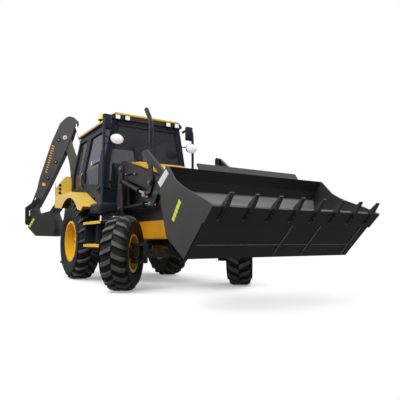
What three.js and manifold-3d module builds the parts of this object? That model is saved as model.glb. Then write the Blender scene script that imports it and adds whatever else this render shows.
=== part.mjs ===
// Backhoe loader: front loader with Z-bar tilt linkage, hollow cab, steered front wheels,
// side-shifting backhoe with swing post, boom, dipper and bucket, and two stabilizer legs.
// Millimetres. +X forward, +Y to the driver's left, +Z up, ground at Z = 0.
// The design frame has its X origin under the rear axle; the whole group is moved at the end so
// that the exported origin is the bottom centre of the machine's bounding box.

import * as THREE from 'three';
import { mergeVertices } from 'three/addons/utils/BufferGeometryUtils.js';
import Module from 'manifold-3d';

const wasm = await Module();
wasm.setup();

// ---------- driving dimensions ----------

const DEG = Math.PI / 180;
const SEAT_GAP = 0.3;          // between pieces that rest on each other
const RUN_GAP = 5;             // between pieces that move past each other
const PIN_GAP = 0.8;           // radial clearance of a pin in its eye

const WHEELBASE = 2350;
const REAR_TRACK = 1860;
const REAR_TYRE = { radius: 700, width: 430, bead: 356, seat: 360 };
const FRONT_TRACK = 2020;
const FRONT_TYRE = { radius: 535, width: 400, bead: 255, seat: 330 };
const KINGPIN_OFFSET = 184;    // wheel centre to kingpin
const STEER_ANGLE = -40 * DEG; // wheels stand turned to the machine's right

const RAIL_TOP = 990;
const RAIL_BOTTOM = 810;
const RAIL_OUTER = 380;
const RAIL_THICKNESS = 80;
const REAR_FACE = -1440;       // rear face of the side-shift frame
const REAR_DEPTH = 200;

const CAB = { back: -974, front: 938, floor: 1250, sill: 1340, half: 830, lowHalf: 690,
  waist: 2050, top: 2880, topHalf: 680, wall: 45, archFront: 520, archTop: 1500 };
const DOOR_GAP = 6;
const DOOR_FRONT_GAP = 12;
const DOOR_HINGE = { x: -255, offset: 14 };
const GLASS = 6;
const ROOF = { half: 725, overhang: 22, lip: 50, crown: 105, crownHalf: 640 };

const HOOD = { back: 965, front: 2760, bottom: 1210, half: 400, wall: 25, hingeX: 2700 };
const NOSE_PLATE = { inner: HOOD.half - 60, outer: HOOD.half };
const HOOD_TOP = [[965, 2100], [1500, 2040], [2000, 1890], [2450, 1700], [2680, 1590]];
const HOOD_NOSE = 1440;        // height at which the hood turns down at its front
const EXHAUST = { x: 1790, y: -330, radius: 38, flange: 62 };

const ARM_PIVOT = [1220, 1930];
const ARM_KNEE = [2950, 1400];
const ARM_TIP = [3840, 840];
const ARM_CENTRE = 550;        // distance of each arm from the middle plane
const ARM_HALF = 40;
const TOWER_PLATE = 20;
const LIFT_BASE = [1170, 1250];
const LIFT_EYE = [2380, 1270];
const LIFT_RANGE = [1075, 1790];
const TILT_BASE = [1400, 1700];
const LEVER_PIVOT = [2400, 1569];
const LEVER_TOP = [2340, 2020];
const LEVER_FOOT = [2300, 1400];
const TILT_RANGE = [800, 970];
const TILT_PIN = [3677, 1056];
const TILT_CENTRE = 660;       // plane of the tilt rams and links
const LEVER_PLATE = [597, 619];

const BUCKET_HALF = 1200;
const BUCKET_SKIN = 20;
const TEETH = 8;
const TOOTH_HALF = 24;
const TOOTH_MARGIN = 150;      // from the bucket's side to its first tooth
const GUARD_HALF = 775;

const SIDE_SHIFT = -360;       // swing post's place across the machine
const SWING_X = -1800;
const SWING_ANGLE = 57 * DEG;  // boom stands turned to the machine's right
const LUG = { low: [795, 850], high: [1035, 1105], radius: 110 };
const HOE_FOOT = [300, 950];
const HOE_ELBOW = [410, 3110];
const HOE_TAIL = [225, 3500];
const HOE_TIP = [1060, 1360];
const BOOM_HALF = 80;
const DIPPER_HALF = 108;
const DIPPER_PLATE = 20;
const BOOM_RAM_BASE = [-100, 1250];
const BOOM_RAM_EYE = [130, 2440];
const BOOM_RAM_RANGE = [1205, 1990];
const DIPPER_RAM_BASE = [-320, 1850];
const DIPPER_RAM_RANGE = [1000, 1725];
const HOE_RAM_BASE = [640, 3030];
const HOE_RAM_RANGE = [1135, 1695];
const HOE_LEVER_PIVOT = [985, 1640];
const HOE_LEVER_EYE = [1226, 1445];
const HOE_LINK_PIN = [1215, 1115];
const HOE_BUCKET_HALF = 300;
const HOE_TEETH = 5;

const STABILIZER = { y: 780, half: 80, leg: 56, top: 1250, bottom: 330, pad: 230, padHalf: 125 };

const PAINT = { yellow: 0xf3a90a, charcoal: 0x4c4d4c, dark: 0x2a2b2d, steel: 0x8a8c8e, chrome: 0xcfd2d6,
  rubber: 0x262626, glass: 0x5b6470, cab: 0x2d3340, boom: 0x6b6d64, seat: 0x1d1e20 };

// ---------- materials and shape helpers ----------

function paint(colour, roughness = 0.5, metalness = 0.1) {
  return new THREE.MeshStandardMaterial({ color: colour, roughness, metalness });
}

function solidOf(geometry) {
  const bare = geometry.index ? geometry.toNonIndexed() : geometry.clone();
  bare.deleteAttribute('normal');
  bare.deleteAttribute('uv');
  const merged = mergeVertices(bare, 1e-4);
  const mesh = new wasm.Mesh({
    numProp: 3,
    vertProperties: new Float32Array(merged.attributes.position.array),
    triVerts: new Uint32Array(merged.index.array),
  });
  return new wasm.Manifold(mesh);
}

function geometryOf(solid) {
  const mesh = solid.getMesh();
  const geometry = new THREE.BufferGeometry();
  geometry.setAttribute('position', new THREE.BufferAttribute(new Float32Array(mesh.vertProperties), 3));
  geometry.setIndex(new THREE.BufferAttribute(new Uint32Array(mesh.triVerts), 1));
  return geometry;
}

function join(...solids) {
  return solids.reduce((whole, next) => whole.add(next));
}

function cut(solid, ...tools) {
  return tools.reduce((rest, tool) => rest.subtract(tool), solid);
}

function box(x0, x1, y0, y1, z0, z1) {
  const geometry = new THREE.BoxGeometry(x1 - x0, y1 - y0, z1 - z0);
  geometry.translate((x0 + x1) / 2, (y0 + y1) / 2, (z0 + z1) / 2);
  return solidOf(geometry);
}

function extrusion(points, depth) {
  const shape = new THREE.Shape(points.map(([a, b]) => new THREE.Vector2(a, b)));
  return new THREE.ExtrudeGeometry(shape, { depth, bevelEnabled: false });
}

// An outline of [x, z] points, solid between y0 and y1.
function sidePlate(points, y0, y1) {
  const geometry = extrusion(points, y1 - y0);
  geometry.rotateX(Math.PI / 2);
  geometry.translate(0, y1, 0);
  return solidOf(geometry);
}

// An outline of [y, z] points, solid between x0 and x1.
function crossPlate(points, x0, x1) {
  const geometry = extrusion(points, x1 - x0);
  geometry.rotateX(Math.PI / 2);
  geometry.rotateZ(Math.PI / 2);
  geometry.translate(x0, 0, 0);
  return solidOf(geometry);
}

// A round bar along Y at [x, z], between y0 and y1.
function pin([x, z], radius, y0, y1, sides = 16) {
  const geometry = new THREE.CylinderGeometry(radius, radius, y1 - y0, sides);
  geometry.translate(x, (y0 + y1) / 2, z);
  return solidOf(geometry);
}

// A round bar between two points.
function bar(from, to, radius, sides = 16) {
  const start = new THREE.Vector3(...from);
  const end = new THREE.Vector3(...to);
  const along = end.clone().sub(start);
  const geometry = new THREE.CylinderGeometry(radius, radius, along.length(), sides);
  const turn = new THREE.Quaternion().setFromUnitVectors(
    new THREE.Vector3(0, 1, 0), along.clone().normalize());
  geometry.applyQuaternion(turn);
  geometry.translate(...start.add(end).multiplyScalar(0.5).toArray());
  return solidOf(geometry);
}

// A plate with round ends through the given [x, z, radius] stations, in order.
function strap(stations, y0, y1) {
  const parts = stations.map(([x, z, radius]) => pin([x, z], radius, y0, y1));
  for (let i = 1; i < stations.length; i += 1) {
    const [ax, az, ar] = stations[i - 1];
    const [bx, bz, br] = stations[i];
    const length = Math.hypot(bx - ax, bz - az);
    const nx = -(bz - az) / length;
    const nz = (bx - ax) / length;
    parts.push(sidePlate([
      [ax + nx * ar, az + nz * ar], [ax - nx * ar, az - nz * ar],
      [bx - nx * br, bz - nz * br], [bx + nx * br, bz + nz * br]], y0, y1));
  }
  return join(...parts);
}

function lathe(profile, sides) {
  const points = profile.map(([radius, height]) => new THREE.Vector2(radius, height));
  return solidOf(new THREE.LatheGeometry(points, sides));
}

function span(a, b) {
  return Math.hypot(b[0] - a[0], b[1] - a[1]);
}

function slope(a, b) {
  return Math.atan2(b[1] - a[1], b[0] - a[0]);
}

// A plate given on the left side (y > 0) and its mirror image.
function bothSides(make) {
  return join(make(1), make(-1));
}

// The pair [low, high] of a Y range on the side given by its sign.
function reach(side, near, far) {
  return side > 0 ? [near, far] : [-far, -near];
}

const machine = new THREE.Group();

function node(parent, name, solid, material) {
  const mesh = new THREE.Mesh(geometryOf(solid), material);
  mesh.name = name;
  parent.add(mesh);
  return mesh;
}

// A group whose origin is the [x, z] point at y, turned by an angle in the X-Z plane.
function pivot(parent, [x, z], y = 0, angle = 0) {
  const group = new THREE.Group();
  group.position.set(x, y, z);
  group.rotation.y = -angle;
  parent.add(group);
  return group;
}

// ---------- hydraulic rams ----------

const EYE_GAP = 30;

// A ram from its base pin to its rod eye. The rod runs in the open barrel over the stroke.
function ram(parent, name, base, eye, range, plane, size) {
  const group = pivot(parent, base, plane, slope(base, eye));
  const length = span(base, eye);
  const barrelEnd = size.barrelLength ?? range[0] - size.eyeRadius - EYE_GAP;
  const rodLength = range[0] - size.eyeRadius - 45;
  const tongue = size.tongue ?? 0;
  const clear = Math.max(size.baseHalf, size.barrel) + 2;
  const barrel = cut(
    join(
      pin([0, 0], size.eyeRadius, -size.baseHalf, size.baseHalf),
      bar([size.eyeRadius * 0.6, 0, 0], [barrelEnd, 0, 0], size.barrel),
      bar([barrelEnd - 60, 0, 0], [barrelEnd, 0, 0], size.barrel + 6)),
    bar([size.eyeRadius + 35, 0, 0], [barrelEnd + 10, 0, 0], size.rod + 0.8),
    pin([0, 0], size.pin + PIN_GAP, -clear, clear));
  const rod = join(
    bar([length - rodLength, 0, 0], [length - tongue, 0, 0], size.rod),
    box(length - tongue - 10, length, -size.eyeHalf, size.eyeHalf, -size.rod, size.rod),
    pin([length, 0], size.eyeRadius, -size.eyeHalf, size.eyeHalf));
  node(group, `${name}_barrel`, barrel, paint(PAINT.dark, 0.45));
  node(group, `${name}_rod`, rod, paint(PAINT.chrome, 0.2, 0.9));
}

// ---------- wheels and axles ----------

function tyre({ radius, width, bead, seat }) {
  const half = width / 2;
  return lathe([
    [bead, -seat / 2 + 15], [bead + 24, -seat / 2 + 15],
    [bead + 60, -half + 12], [(bead + radius) / 2, -half],
    [radius - 70, -half + 8], [radius, -half + 60], [radius, half - 60], [radius - 70, half - 8],
    [(bead + radius) / 2, half], [bead + 60, half - 12], [bead + 24, seat / 2 - 15], [bead, seat / 2 - 15],
    [bead, -seat / 2 + 15]], WHEEL_SIDES);
}

// The dish faces +Y. The stub of the axle runs into the blind bore on the -Y side.
function rim({ bead, seat }, stub, disc) {
  const drum = bead - SEAT_GAP;
  const half = seat / 2 - 15;
  const inside = drum - 14;
  return lathe([
    [0, disc + 15], [stub + PIN_GAP, disc + 15], [stub + PIN_GAP, disc - 30], [stub + 45, disc - 30],
    [stub + 60, disc], [inside - 30, disc], [inside, disc - 20], [inside, -half - 14],
    [drum + 22, -half - 14], [drum + 22, -half - SEAT_GAP],
    [drum, -half - SEAT_GAP], [drum, half + SEAT_GAP],
    [drum + 22, half + SEAT_GAP], [drum + 22, half + 14], [inside, half + 14], [inside, disc + 20],
    [inside - 60, disc + 45], [150, disc + 25], [110, disc + 75], [0, disc + 75]], WHEEL_SIDES);
}

const WHEEL_SIDES = 32;
const REAR_STUB = 60;
const FRONT_STUB = 45;
const REAR_DISC = -20;
const FRONT_DISC = -30;

function wheel(parent, name, tyreSize, stub, disc, y, side) {
  const group = pivot(parent, [0, 0], y);
  group.rotation.z = side > 0 ? 0 : Math.PI;
  node(group, `${name}_tyre`, tyre(tyreSize), paint(PAINT.rubber, 0.9, 0));
  node(group, `${name}_rim`, rim(tyreSize, stub, disc), paint(PAINT.yellow, 0.4));
}

function rearAxle() {
  const y = REAR_TRACK / 2 + REAR_DISC;
  const z = REAR_TYRE.radius;
  return join(
    bar([0, -y + 60, z], [0, y - 60, z], 92),
    bar([0, -170, z], [0, 170, z], 175),
    bar([0, -y + 90, z], [0, y - 30 - RUN_GAP - 10, z], 92),
    bar([0, -y - 12, z], [0, y + 12, z], REAR_STUB),
    bothSides((side) => box(-90, 90, ...reach(side, 300, 370), z, RAIL_BOTTOM - SEAT_GAP)));
}

const KINGPIN_Y = FRONT_TRACK / 2 - KINGPIN_OFFSET;
const YOKE = { gap: 105, thick: 42, radius: 62, pin: 25 };

function frontAxle() {
  const x = WHEELBASE;
  const z = FRONT_TYRE.radius;
  const yoke = (side) => {
    const y = side * KINGPIN_Y;
    const ears = [1, -1].map((up) => {
      const low = z + (up > 0 ? YOKE.gap : -YOKE.gap - YOKE.thick);
      const round = bar([x, y, low], [x, y, low + YOKE.thick], YOKE.radius);
      const web = box(x - YOKE.radius, x + YOKE.radius, ...reach(side, KINGPIN_Y - 170, KINGPIN_Y),
        low, low + YOKE.thick);
      return join(round, web);
    });
    const back = box(x - YOKE.radius, x + YOKE.radius, ...reach(side, KINGPIN_Y - 170, KINGPIN_Y - 100),
      z - YOKE.gap - YOKE.thick, z + YOKE.gap + YOKE.thick);
    const hole = bar([x, y, z - 200], [x, y, z + 200], YOKE.pin + PIN_GAP);
    return cut(join(...ears, back), hole);
  };
  return join(
    box(x - 55, x + 55, -KINGPIN_Y + 120, KINGPIN_Y - 120, z - 70, z + 60),
    bar([x, 0, z], [x + 130, 0, z], 95),
    bar([x - 175, 0, z], [x + 175, 0, z], 45),
    yoke(1), yoke(-1));
}

function knuckle() {
  const hub = FRONT_DISC + KINGPIN_OFFSET;
  return join(
    bar([0, 0, -YOKE.gap + RUN_GAP], [0, 0, YOKE.gap - RUN_GAP], 52),
    bar([0, 0, -YOKE.gap - YOKE.thick], [0, 0, YOKE.gap + YOKE.thick], YOKE.pin),
    bar([0, 0, 0], [0, hub - 30 - RUN_GAP, 0], 75),
    bar([0, 0, 0], [0, hub + 12, 0], FRONT_STUB));
}

// ---------- chassis ----------

const TOWER_SIDE = [[1010, 1040], [1330, 1040], [1290, 1450], [1272, 1700], [1300, 1930], [1270, 2000],
  [1170, 2000], [1130, 1930], [1060, 1500]];

function tower(side) {
  const inner = reach(side, ARM_CENTRE - 70, ARM_CENTRE - 70 + TOWER_PLATE);
  const outer = reach(side, ARM_CENTRE + 50, ARM_CENTRE + 50 + TOWER_PLATE);
  const through = reach(side, ARM_CENTRE - 80, ARM_CENTRE + 80);
  return join(
    sidePlate(TOWER_SIDE, ...inner),
    sidePlate(TOWER_SIDE, ...outer),
    pin(ARM_PIVOT, 35, ...through),
    pin(LIFT_BASE, 30, ...through),
    box(1010, 1330, ...reach(side, NOSE_PLATE.inner, ARM_CENTRE + 50 + TOWER_PLATE), 1040, 1150));
}

function chassisFrame() {
  const nosePlate = [[950, HOOD.bottom - SEAT_GAP], [2690, HOOD.bottom - SEAT_GAP], [2690, 740],
    [1750, 720], [1500, 600], [950, 600]];
  const rails = bothSides((side) => box(REAR_FACE + REAR_DEPTH - 20, 1000,
    ...reach(side, RAIL_OUTER - RAIL_THICKNESS, RAIL_OUTER), RAIL_BOTTOM, RAIL_TOP));
  const nose = bothSides((side) => sidePlate(nosePlate,
    ...reach(side, NOSE_PLATE.inner, NOSE_PLATE.outer)));
  const joints = bothSides((side) => box(940, 1010, ...reach(side, RAIL_OUTER - RAIL_THICKNESS,
    NOSE_PLATE.outer), RAIL_BOTTOM, RAIL_TOP));
  const hangers = [-1, 1].map((end) => {
    const middle = WHEELBASE + end * 155;
    return cut(
      crossPlate([[-110, 470], [110, 470], [200, 740], [NOSE_PLATE.inner + 10, 760],
        [NOSE_PLATE.inner + 10, 830], [-NOSE_PLATE.inner - 10, 830], [-NOSE_PLATE.inner - 10, 760],
        [-200, 740]], middle - 18, middle + 18),
      bar([middle - 60, 0, FRONT_TYRE.radius], [middle + 60, 0, FRONT_TYRE.radius], 45 + PIN_GAP));
  });
  const cabMounts = bothSides((side) => join(
    box(-860, -740, ...reach(side, 290, 390), RAIL_TOP - 5, CAB.floor - SEAT_GAP),
    box(700, 820, ...reach(side, 290, 390), RAIL_TOP - 5, CAB.floor - SEAT_GAP)));
  const engineBeds = join(
    box(1300, 1380, -NOSE_PLATE.outer + 10, NOSE_PLATE.outer - 10, 700, ENGINE.bottom - SEAT_GAP),
    box(2020, 2100, -NOSE_PLATE.outer + 10, NOSE_PLATE.outer - 10, 730, ENGINE.bottom - SEAT_GAP));
  const bumper = box(2600, 2690, -NOSE_PLATE.outer + 10, NOSE_PLATE.outer - 10, 740, 930);
  const axleBridge = box(-110, 110, -RAIL_OUTER + 10, RAIL_OUTER - 10, 900, RAIL_TOP - 10);
  return join(rails, nose, joints, ...hangers, cabMounts, engineBeds, bumper, axleBridge,
    stepBrackets(), rearFrame(), tower(1), tower(-1));
}

function stepBrackets() {
  return bothSides((side) => join(
    box(850, 930, ...reach(side, RAIL_OUTER - 20, STEP.inner - SEAT_GAP), 830, 930),
    box(1360, 1440, ...reach(side, NOSE_PLATE.outer - 10, STEP.inner - SEAT_GAP), 830, 930)));
}

function rearFrame() {
  const front = REAR_FACE + REAR_DEPTH;
  const y = STABILIZER.y;
  const beams = join(
    box(REAR_FACE, front, -y, y, 430, 560),
    box(REAR_FACE, front, -y, y, 980, 1120),
    bothSides((side) => box(REAR_FACE + 20, front - 20, ...reach(side, 520, 600), 500, 1000)),
    bothSides((side) => box(REAR_FACE + 20, front - 20, ...reach(side, 300, 380), RAIL_BOTTOM, 1000)));
  const sleeves = bothSides((side) => cut(
    box(REAR_FACE, front, ...reach(side, y - STABILIZER.half, y + STABILIZER.half),
      STABILIZER.bottom, STABILIZER.top)));
  const bores = bothSides((side) => box(
    (REAR_FACE + front) / 2 - STABILIZER.leg - 0.6, (REAR_FACE + front) / 2 + STABILIZER.leg + 0.6,
    ...reach(side, y - STABILIZER.leg - 0.6, y + STABILIZER.leg + 0.6),
    STABILIZER.bottom - 10, STABILIZER.top + 10));
  return cut(join(beams, sleeves), bores);
}

function stabilizerLeg(side) {
  const x = REAR_FACE + REAR_DEPTH / 2;
  const leg = box(x - STABILIZER.leg, x + STABILIZER.leg,
    ...reach(side, STABILIZER.y - STABILIZER.leg, STABILIZER.y + STABILIZER.leg),
    STABILIZER.pad + 40, STABILIZER.top - 40);
  const { y, pad, padHalf } = STABILIZER;
  const foot = box(x - 150, x + 150, ...reach(side, y - padHalf, y + padHalf), pad, pad + 45);
  const sole = box(x - 110, x + 110, ...reach(side, y - padHalf + 25, y + padHalf - 25), pad - 30, pad + 1);
  return join(leg, foot, sole);
}

const ENGINE = { back: 1250, front: 2150, half: 250, bottom: 870, top: 1600 };

const STEP = { back: 790, front: 1655, inner: 640, outer: 1060, bottom: 520, top: 1040 };

function stepBox(side) {
  const tank = box(STEP.back, STEP.front - 120, ...reach(side, STEP.inner, STEP.outer - 110),
    STEP.bottom, STEP.top);
  const lower = box(STEP.back + 20, STEP.front, ...reach(side, STEP.outer - 130, STEP.outer + 50),
    STEP.bottom + 90, STEP.bottom + 130);
  const upper = box(STEP.back - 10, STEP.front, ...reach(side, STEP.outer - 130, STEP.outer + 50),
    STEP.top - 60, STEP.top - 20);
  const gussets = join(...[STEP.back + 60, STEP.front - 190].map((x) => box(x, x + 20,
    ...reach(side, STEP.outer - 130, STEP.outer + 40), STEP.bottom + 90, STEP.top - 30)));
  return join(tank, lower, upper, gussets);
}

// ---------- cab ----------

function cabOutline(inset) {
  const { half, lowHalf, floor, sill, waist, top, topHalf } = CAB;
  const right = [[lowHalf - inset, floor + inset], [lowHalf - inset, sill + inset],
    [half - inset, sill + inset], [half - inset, waist - inset * 0.1], [topHalf - inset, top - inset]];
  return [...right, ...right.map(([y, z]) => [-y, z]).reverse()];
}

function cabHull(inset) {
  const arch = bothSides((side) => box(CAB.back - 10, CAB.archFront + inset,
    ...reach(side, CAB.lowHalf - inset, CAB.half + 50), CAB.floor - 50, CAB.archTop + inset));
  return cut(crossPlate(cabOutline(inset), CAB.back + inset, CAB.front - inset), arch);
}

const DOOR = [[800, 1390], [680, 1430], [460, 1530], [210, 1645], [-240, 1645], [-240, 2820], [800, 2820]];
const DOOR_WINDOW = [[700, 1700], [-150, 1800], [-150, 2740], [700, 2740]];
const QUARTER_WINDOW = [[-340, 1750], [-880, 1750], [-880, 2760], [-340, 2760]];
const WINDSCREEN = [[-730, 1620], [730, 1620], [730, 2060], [600, 2790], [-600, 2790], [-730, 2060]];
const REAR_WINDOW = [[-640, 1620], [640, 1620], [640, 2060], [560, 2780], [-560, 2780], [-640, 2060]];

function grown(points, amount) {
  const cx = points.reduce((sum, p) => sum + p[0], 0) / points.length;
  const cz = points.reduce((sum, p) => sum + p[1], 0) / points.length;
  return points.map(([x, z]) => [x + Math.sign(x - cx) * amount, z + Math.sign(z - cz) * amount]);
}

function sideCut(points, side) {
  return sidePlate(points, ...reach(side, 450, 1000));
}

const CAB_SHELL = cut(cabHull(0), cabHull(CAB.wall));

function doorOpening() {
  return DOOR.map(([x, z]) => [
    x > 0 && x === 800 ? x + DOOR_FRONT_GAP : x + (x < 0 ? -DOOR_GAP : 0),
    z > 2000 ? z + DOOR_GAP : z - DOOR_GAP]);
}

function hingeKnuckles(side, heights) {
  const y = side * (CAB.half + DOOR_HINGE.offset);
  return join(...heights.map(([low, high]) => (
    bar([DOOR_HINGE.x, y, low], [DOOR_HINGE.x, y, high], 12, 16))));
}

function cabFrame() {
  const openings = [
    sideCut(doorOpening(), 1), sideCut(doorOpening(), -1),
    sideCut(QUARTER_WINDOW, 1), sideCut(QUARTER_WINDOW, -1),
    crossPlate(WINDSCREEN, CAB.front - 100, CAB.front + 100),
    crossPlate(REAR_WINDOW, CAB.back - 100, CAB.back + 100)];
  const hatch = box(CAB.back + 150, CAB.front - 150, -480, 480, CAB.top - 100, CAB.top + 50);
  const leaf = (side, low, high) => box(DOOR_HINGE.x - 40, DOOR_HINGE.x - 5,
    ...reach(side, CAB.half - 5, CAB.half + DOOR_HINGE.offset + 4), low, high);
  const hinges = bothSides((side) => join(
    hingeKnuckles(side, [[1720, 1760], [1970, 2010]]),
    leaf(side, 1725, 1755),
    leaf(side, 1975, 2005)));
  return join(cut(CAB_SHELL, ...openings, hatch), hinges);
}

function leafPlate(side, low, high) {
  const outer = CAB.half + DOOR_HINGE.offset + 4;
  return join(
    box(DOOR_HINGE.x - 2, -200, ...reach(side, CAB.half + 1, outer), low, high),
    box(-236, -200, ...reach(side, CAB.half - 4, outer), low, high));
}

function door(side) {
  const panel = cut(CAB_SHELL.intersect(sideCut(DOOR, side)), sideCut(DOOR_WINDOW, side));
  const leaf = join(
    hingeKnuckles(side, [[1760 + SEAT_GAP, 1800], [1930, 1970 - SEAT_GAP]]),
    leafPlate(side, 1765, 1795),
    leafPlate(side, 1935, 1965));
  return join(panel, leaf);
}

function doorGlass(side) {
  const middle = (CAB.wall - GLASS) / 2;
  const sheet = cut(cabHull(middle), cabHull(middle + GLASS));
  return sheet.intersect(sideCut(grown(DOOR_WINDOW, -SEAT_GAP), side));
}

function cabRoof() {
  const low = CAB.top + SEAT_GAP;
  return crossPlate([[-ROOF.half, low], [ROOF.half, low], [ROOF.half, low + ROOF.lip],
    [ROOF.crownHalf, low + ROOF.crown], [-ROOF.crownHalf, low + ROOF.crown], [-ROOF.half, low + ROOF.lip]],
  CAB.back - ROOF.overhang, CAB.front + ROOF.overhang);
}

const CAB_FLOOR_TOP = CAB.floor + CAB.wall + SEAT_GAP;

function driverSeat() {
  return join(
    box(-320, 20, -180, 180, CAB_FLOOR_TOP, 1640),
    box(-400, 120, -260, 260, 1620, 1760),
    sidePlate([[-400, 1700], [-270, 1700], [-370, 2330], [-480, 2330]], -240, 240),
    box(-350, 60, 270, 320, 1860, 1920),
    box(-350, 60, -320, -270, 1860, 1920),
    box(-350, -290, -320, 320, 1700, 1920));
}

function steeringConsole() {
  const ring = new THREE.LatheGeometry([[190, -14], [204, 0], [190, 14], [176, 0], [190, -14]]
    .map(([r, h]) => new THREE.Vector2(r, h)), 20);
  const tilt = -55 * DEG;
  const hub = [430, 0, 2050];
  ring.rotateZ(-tilt - Math.PI / 2 + 25 * DEG);
  ring.translate(...hub);
  const spokes = join(
    bar([hub[0], -192, hub[2]], [hub[0], 192, hub[2]], 12, 10),
    bar(hub, [640, 0, 1780], 32, 16));
  return join(
    sidePlate([[560, CAB_FLOOR_TOP], [780, CAB_FLOOR_TOP], [780, 1780],
      [700, 1840], [560, 1760]], -170, 170),
    spokes, solidOf(ring));
}

// ---------- bodywork ----------

function fender(side) {
  const arch = [];
  const radius = REAR_TYRE.radius + 110;
  for (let angle = 43; angle <= 137; angle += 94 / 10) {
    arch.push([radius * Math.cos(angle * DEG), REAR_TYRE.radius + radius * Math.sin(angle * DEG)]);
  }
  const outline = [[60, 1620], [-985, 1620], [-985, 1690], [-1030, 1690], [-1030, 1400], [-1000, 1385],
    ...[...arch].reverse(), [800, 1225], [890, 1290]];
  const hollow = [[50, 1597], [-980, 1597], [-980, 1420], ...[...arch].reverse()
    .map(([x, z]) => [x, z - 40]), [800, 1190], [850, 1280]];
  const outer = sidePlate(outline, ...reach(side, 840, 1165));
  const inner = sidePlate(hollow, ...reach(side, 800, 1142));
  const brackets = join(
    box(-600, -520, ...reach(side, CAB.half - 60, 870), CAB.archTop + 40, 1600));
  const crown = [];
  for (let angle = 35; angle <= 180; angle += 29) {
    crown.push([side * (925 + 83 * Math.cos(angle * DEG)), 1977 + 83 * Math.sin(angle * DEG)]);
  }
  const upright = crossPlate([[side * 842, 1610], [side * 1163, 1610],
    [side * 1163, 1790], ...crown], -1029, -986);
  return cut(
    join(cut(outer, inner), brackets, upright),
    box(-700, -400, ...reach(side, 700, CAB.half + SEAT_GAP), 1500, 1610));
}

function hoodTop(x) {
  const i = HOOD_TOP.findIndex(([end], index) => index > 0 && x <= end);
  const [x0, z0] = HOOD_TOP[i - 1];
  const [x1, z1] = HOOD_TOP[i];
  return z0 + (z1 - z0) * (x - x0) / (x1 - x0);
}

function hood() {
  const { back, front, bottom, half, wall } = HOOD;
  const { x, y, radius } = EXHAUST;
  const roof = [...HOOD_TOP].reverse();
  const outer = sidePlate([[back, bottom], [front, bottom], [front, HOOD_NOSE], ...roof], -half, half);
  const inner = sidePlate([[back - 20, bottom - 20], [front - wall, bottom - 20],
    [front - wall, HOOD_NOSE - 15], ...roof.map(([along, up]) => [along - 10, up - wall - 4]),
    [back - 20, HOOD_TOP[0][1] - wall - 4]], -half + wall, half - wall);
  const port = bar([x, y, hoodTop(x) - 120], [x, y, hoodTop(x) + 120], radius + 2);
  return cut(outer, inner, port);
}

function exhaustStack() {
  const { x, y, radius, flange } = EXHAUST;
  const route = new THREE.CatmullRomCurve3([
    new THREE.Vector3(x, y, hoodTop(x) - 40), new THREE.Vector3(x, y, 2300), new THREE.Vector3(x, y, 2620),
    new THREE.Vector3(x - 35, y, 2720), new THREE.Vector3(x - 190, y, 2930)], false, 'catmullrom', 0.2);
  const section = new THREE.Shape();
  section.absarc(0, 0, radius, 0, Math.PI * 2);
  const pipe = new THREE.ExtrudeGeometry(section, { steps: 10, curveSegments: 7, extrudePath: route });
  const seat = hoodTop(x - flange) + SEAT_GAP;
  return join(solidOf(pipe), bar([x, y, seat], [x, y, seat + 34], flange));
}

// ---------- loader ----------

function armSide(side) {
  const [near, far] = reach(side, ARM_CENTRE - ARM_HALF, ARM_CENTRE + ARM_HALF);
  const blade = strap([[...ARM_PIVOT, 140], [...ARM_KNEE, 118], [...ARM_TIP, 75]], near, far);
  const lug = (y0, y1) => sidePlate([[2340, 1520], [2620, 1450], [2440, 1240], [2400, 1215], [2350, 1215],
    [2325, 1240]], ...reach(side, y0, y1));
  const tiltLug = strap([[1360, 1830, 60], [...TILT_BASE, 48]],
    ...reach(side, ARM_CENTRE + 10, ARM_CENTRE + ARM_HALF));
  return cut(
    join(blade,
      lug(ARM_CENTRE - ARM_HALF, ARM_CENTRE - 20), lug(ARM_CENTRE + 20, ARM_CENTRE + ARM_HALF),
      tiltLug,
      pin(TILT_BASE, 28, ...reach(side, ARM_CENTRE + 20, TILT_CENTRE + 50)),
      pin(LEVER_PIVOT, 36, ...reach(side, ARM_CENTRE, LEVER_PLATE[1] + 12))),
    pin(ARM_PIVOT, 35 + PIN_GAP, near - 1, far + 1),
    pin(ARM_TIP, 30 + PIN_GAP, near - 1, far + 1));
}

const CROSS_TUBE = [3150, 1190];

function loaderArms() {
  return join(armSide(1), armSide(-1),
    bar([CROSS_TUBE[0], -ARM_CENTRE, CROSS_TUBE[1]], [CROSS_TUBE[0], ARM_CENTRE, CROSS_TUBE[1]], 85));
}

function tiltLever(side) {
  const plate = strap([[...LEVER_TOP, 48], [...LEVER_PIVOT, 72], [...LEVER_FOOT, 50]],
    ...reach(side, ...LEVER_PLATE));
  return cut(plate,
    pin(LEVER_PIVOT, 36 + PIN_GAP, ...reach(side, 500, 700)),
    pin(LEVER_TOP, 25 + PIN_GAP, ...reach(side, 500, 700)));
}

function tiltLink(side) {
  return join(
    strap([[...LEVER_TOP, 44], [...TILT_PIN, 44]], ...reach(side, TILT_CENTRE - 22, TILT_CENTRE + 22)),
    pin(LEVER_TOP, 25, ...reach(side, LEVER_PLATE[0] - 10, TILT_CENTRE)));
}

const BUCKET_SIDE = [[3992, 1525], [4034, 1513], [4201, 1344], [4330, 1270], [4468, 1212], [4709, 1122],
  [4892, 1040], [4385, 530], [4272, 600], [4010, 752], [3885, 1104], [3858, 1273], [3900, 1400]];
const BUCKET_HOLLOW = [[4014, 1520], [4100, 1640], [5000, 1300], [4913, 1061], [4871, 1047], [4383, 556],
  [4286, 616], [4027, 765], [3905, 1108], [3879, 1271], [3918, 1392]];

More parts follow.
